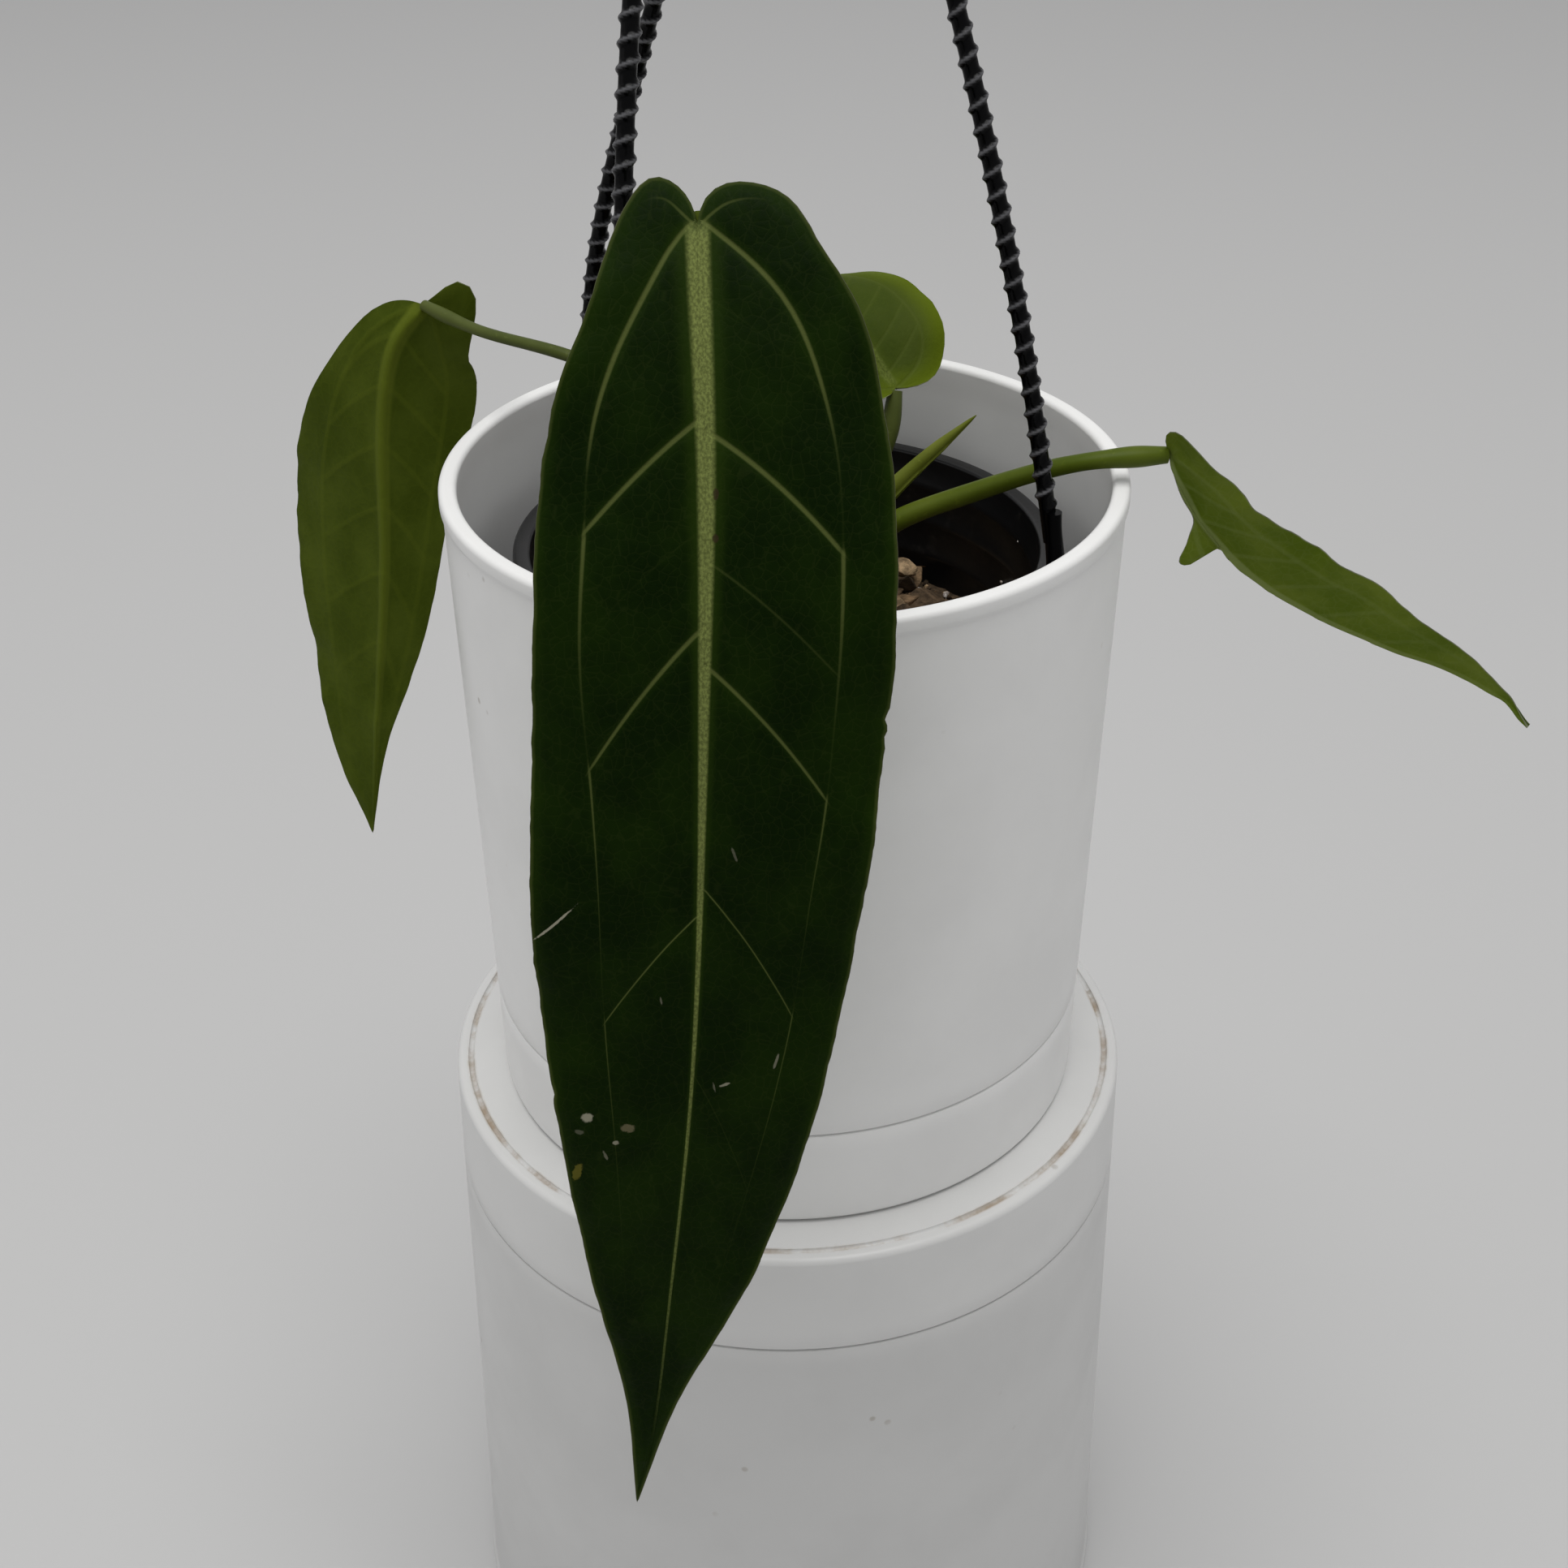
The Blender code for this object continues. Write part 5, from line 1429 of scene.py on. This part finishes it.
CHIPS = 260  # tried: those that would reach past the pot's wall are left out
FRONT_CHIPS = 26  # in the front on the right, where the photograph shows the bed
CRUMBS = 420
GRAINS = 34
WALL_GRAINS = 12  # stuck to the inner pot's wall


def potting_mix():
    rng = random.Random(11)
    reach = nursery_inner(MIX_TOP) - 0.0006
    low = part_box("potting_mix")[0].z
    bed = Parts()
    steps, rings = 120, 44
    points, faces = [AXIS + Vector((0, 0, MIX_TOP + bed_height(0, 0)))], []
    for i in range(1, rings + 1):
        for j in range(steps):
            turn = 2 * math.pi * j / steps
            x, y = reach * i / rings * math.cos(turn), reach * i / rings * math.sin(turn)
            points.append(AXIS + Vector((x, y, MIX_TOP + bed_height(x, y))))
    for j in range(steps):
        faces.append([0, 1 + j, 1 + (j + 1) % steps])
    for i in range(rings - 1):
        for j in range(steps):
            a, b, k = 1 + i * steps, 1 + (i + 1) * steps, (j + 1) % steps
            faces.append([a + j, b + j, b + k, a + k])
    rim = 1 + (rings - 1) * steps
    foot = len(points)
    low_r = nursery_inner(NURSERY_Z + 0.004) - 0.0016
    for j in range(steps):
        turn = 2 * math.pi * j / steps
        points.append(AXIS + Vector((low_r * math.cos(turn), low_r * math.sin(turn), low)))
    for j in range(steps):
        k = (j + 1) % steps
        faces.append([rim + j, foot + j, foot + k, rim + k])
    faces.append([foot + j for j in range(steps)][::-1])
    bed.add(points, faces, 0.12)
    chips = [f"bark_chip_{i:02d}" for i in range(1, 16)]
    for node in chips:
        bed.add(*in_box(node, rng), rng.uniform(0.15, 0.95))
    for _ in range(CHIPS):
        far, turn = reach * math.sqrt(rng.random()) * 0.965, rng.uniform(0, 6.28)
        long_side = rng.choice((0.004, 0.006, 0.009, 0.012)) * rng.uniform(0.8, 1.2)
        size = (long_side, long_side * rng.uniform(0.4, 0.75), long_side * rng.uniform(0.22, 0.45))
        if far + size[0] * 0.45 > reach:
            continue
        made_points, made_faces = broken_piece(size, rng)
        where = on_bed(far, turn, size[2] * 0.30)
        tone = rng.choice((0.05, 0.2, 0.35, 0.5, 0.65, 0.85))
        points = laid(made_points, where, random_turn(rng, 0.38))
        bed.add(points, made_faces, tone * rng.uniform(0.8, 1.15))
    for _ in range(FRONT_CHIPS):
        far, turn = reach * rng.uniform(0.62, 0.86), math.radians(rng.uniform(-80, -5))
        size = (rng.uniform(0.008, 0.014), rng.uniform(0.005, 0.008), rng.uniform(0.002, 0.004))
        made_points, made_faces = broken_piece(size, rng)
        where = on_bed(far, turn, rng.uniform(0.0015, 0.0055))
        bed.add(laid(made_points, where, random_turn(rng, 0.55)), made_faces, rng.uniform(0.35, 1.0))
    for _ in range(CRUMBS):
        far, turn = reach * math.sqrt(rng.random()) * 0.985, rng.uniform(0, 6.28)
        grain = rng.uniform(0.0010, 0.0026)
        made_points, made_faces = broken_piece((grain, grain * 0.7, grain * 0.5), rng)
        where = on_bed(far, turn, grain * 0.2)
        bed.add(laid(made_points, where, random_turn(rng, 0.8)), made_faces, rng.uniform(0.0, 1.0))
    made = add_piece("bark_bed", bed.points, bed.faces, [BARK], None, 28, ("potting_mix", *chips))
    set_attribute(made, "tone", bed.tones)
    grains = Parts()
    nodes = [f"perlite_{i}" for i in range(1, 5)]
    for node in nodes:
        grains.add(*in_box(node, rng))
    for _ in range(GRAINS):
        far, turn = reach * rng.uniform(0.45, 0.97), rng.uniform(0, 6.28)
        grain = rng.uniform(0.0012, 0.0034)
        made_points, made_faces = broken_piece((grain, grain * 0.85, grain * 0.75), rng)
        where = on_bed(far, turn, grain * 0.35 + 0.0006)
        grains.add(laid(made_points, where, random_turn(rng, 1.0)), made_faces)
    for _ in range(WALL_GRAINS):
        turn, z = rng.uniform(0, 6.28), MIX_TOP + rng.uniform(0.002, 0.020)
        grain = rng.uniform(0.0005, 0.0011)
        made_points, made_faces = broken_piece((grain, grain, grain * 0.7), rng)
        far = nursery_inner(z) - grain * 0.30
        where = AXIS + Vector((far * math.cos(turn), far * math.sin(turn), z))
        grains.add(laid(made_points, where, random_turn(rng, 1.0)), made_faces)
    add_piece("perlite_grains", grains.points, grains.faces, [PERLITE], None, 28, tuple(nodes))


potting_mix()


# ---- studio ----
SKY_FRONT = 0.44
SKY_BACK = 0.56
OVERHEAD_WATTS = 52.0
SIDE_WATTS = 1.2
FLOOR_ALBEDO = 0.52


def studio():
    floor_mesh = bpy.data.meshes.new("floor")
    half = 60.0
    corners = [(-half, -half, 0), (half, -half, 0), (half, half, 0), (-half, half, 0)]
    floor_mesh.from_pydata(corners, [], [(0, 1, 2, 3)])
    floor = bpy.data.objects.new("floor", floor_mesh)
    bpy.context.scene.collection.objects.link(floor)
    look = Look("floor_pale", (FLOOR_ALBEDO, FLOOR_ALBEDO, FLOOR_ALBEDO), 0.95, Specular_IOR_Level=0.05)
    floor_mesh.materials.append(look.material)

    world = bpy.data.worlds.new("studio_sky")
    world.use_nodes = True
    tree = world.node_tree
    back = tree.nodes["Background"]
    where = tree.nodes.new("ShaderNodeTexCoord")
    split = tree.nodes.new("ShaderNodeSeparateXYZ")
    ramp = tree.nodes.new("ShaderNodeMapRange")
    for socket, value in enumerate((-1.0, 1.0, SKY_FRONT, SKY_BACK), start=1):
        ramp.inputs[socket].default_value = value
    tree.links.new(where.outputs["Generated"], split.inputs[0])
    tree.links.new(split.outputs["Y"], ramp.inputs[0])
    tree.links.new(ramp.outputs[0], back.inputs["Strength"])
    back.inputs["Color"].default_value = (1.0, 0.997, 1.0, 1.0)
    bpy.context.scene.world = world

    def soft_light(name, place, aim, size, watts, colour):
        data = bpy.data.lights.new(name, "AREA")
        data.shape = "DISK"
        data.size = size
        data.energy = watts
        data.color = colour
        lamp = bpy.data.objects.new(name, data)
        lamp.location = place
        lamp.rotation_euler = (Vector(aim) - Vector(place)).to_track_quat("-Z", "Y").to_euler()
        bpy.context.scene.collection.objects.link(lamp)
        return lamp

    middle = AXIS + Vector((0, 0, 0.30))
    over = middle + Vector((-0.05, -0.45, 2.6))
    key = soft_light("overhead", over, middle, 2.2, OVERHEAD_WATTS, (1.0, 0.995, 0.98))
    fill = soft_light("side", middle + Vector((-1.6, -0.5, 0.8)), middle, 1.2, SIDE_WATTS, (1.0, 0.99, 0.97))


studio()


CAMERA_LENS = 50.9
CAMERA_TURN = (0.5555, -0.0011, -0.0062)  # pitch, yaw and roll in radians
CAMERA_BACK = 5.9621  # in rim radii of the cover pot, from the middle of its rim
CAMERA_UP = 2.6126


def camera():
    """The photograph's viewpoint, from above in front, measured in rim radii of the cover pot."""
    data = bpy.data.cameras.new("photo")
    data.sensor_width = 36.0
    data.lens = CAMERA_LENS
    data.dof.use_dof = False
    made = bpy.data.objects.new("photo", data)
    pitch, yaw, roll = CAMERA_TURN
    place = RIM + Vector((0.0, -CAMERA_BACK * COVER_R, CAMERA_UP * COVER_R))
    level = math.cos(pitch)
    forward = Vector((math.sin(yaw) * level, math.cos(yaw) * level, -math.sin(pitch)))
    right = forward.cross(Vector((0, 0, 1))).normalized()
    over = right.cross(forward)
    tilt, lean = math.cos(roll), math.sin(roll)
    right, over = right * tilt + over * lean, over * tilt - right * lean
    turned = Matrix((right, over, -forward)).transposed().to_4x4()
    made.matrix_world = Matrix.Translation(place) @ turned
    bpy.context.scene.collection.objects.link(made)
    bpy.context.scene.camera = made
    bpy.context.scene.view_settings.view_transform = "Standard"


camera()
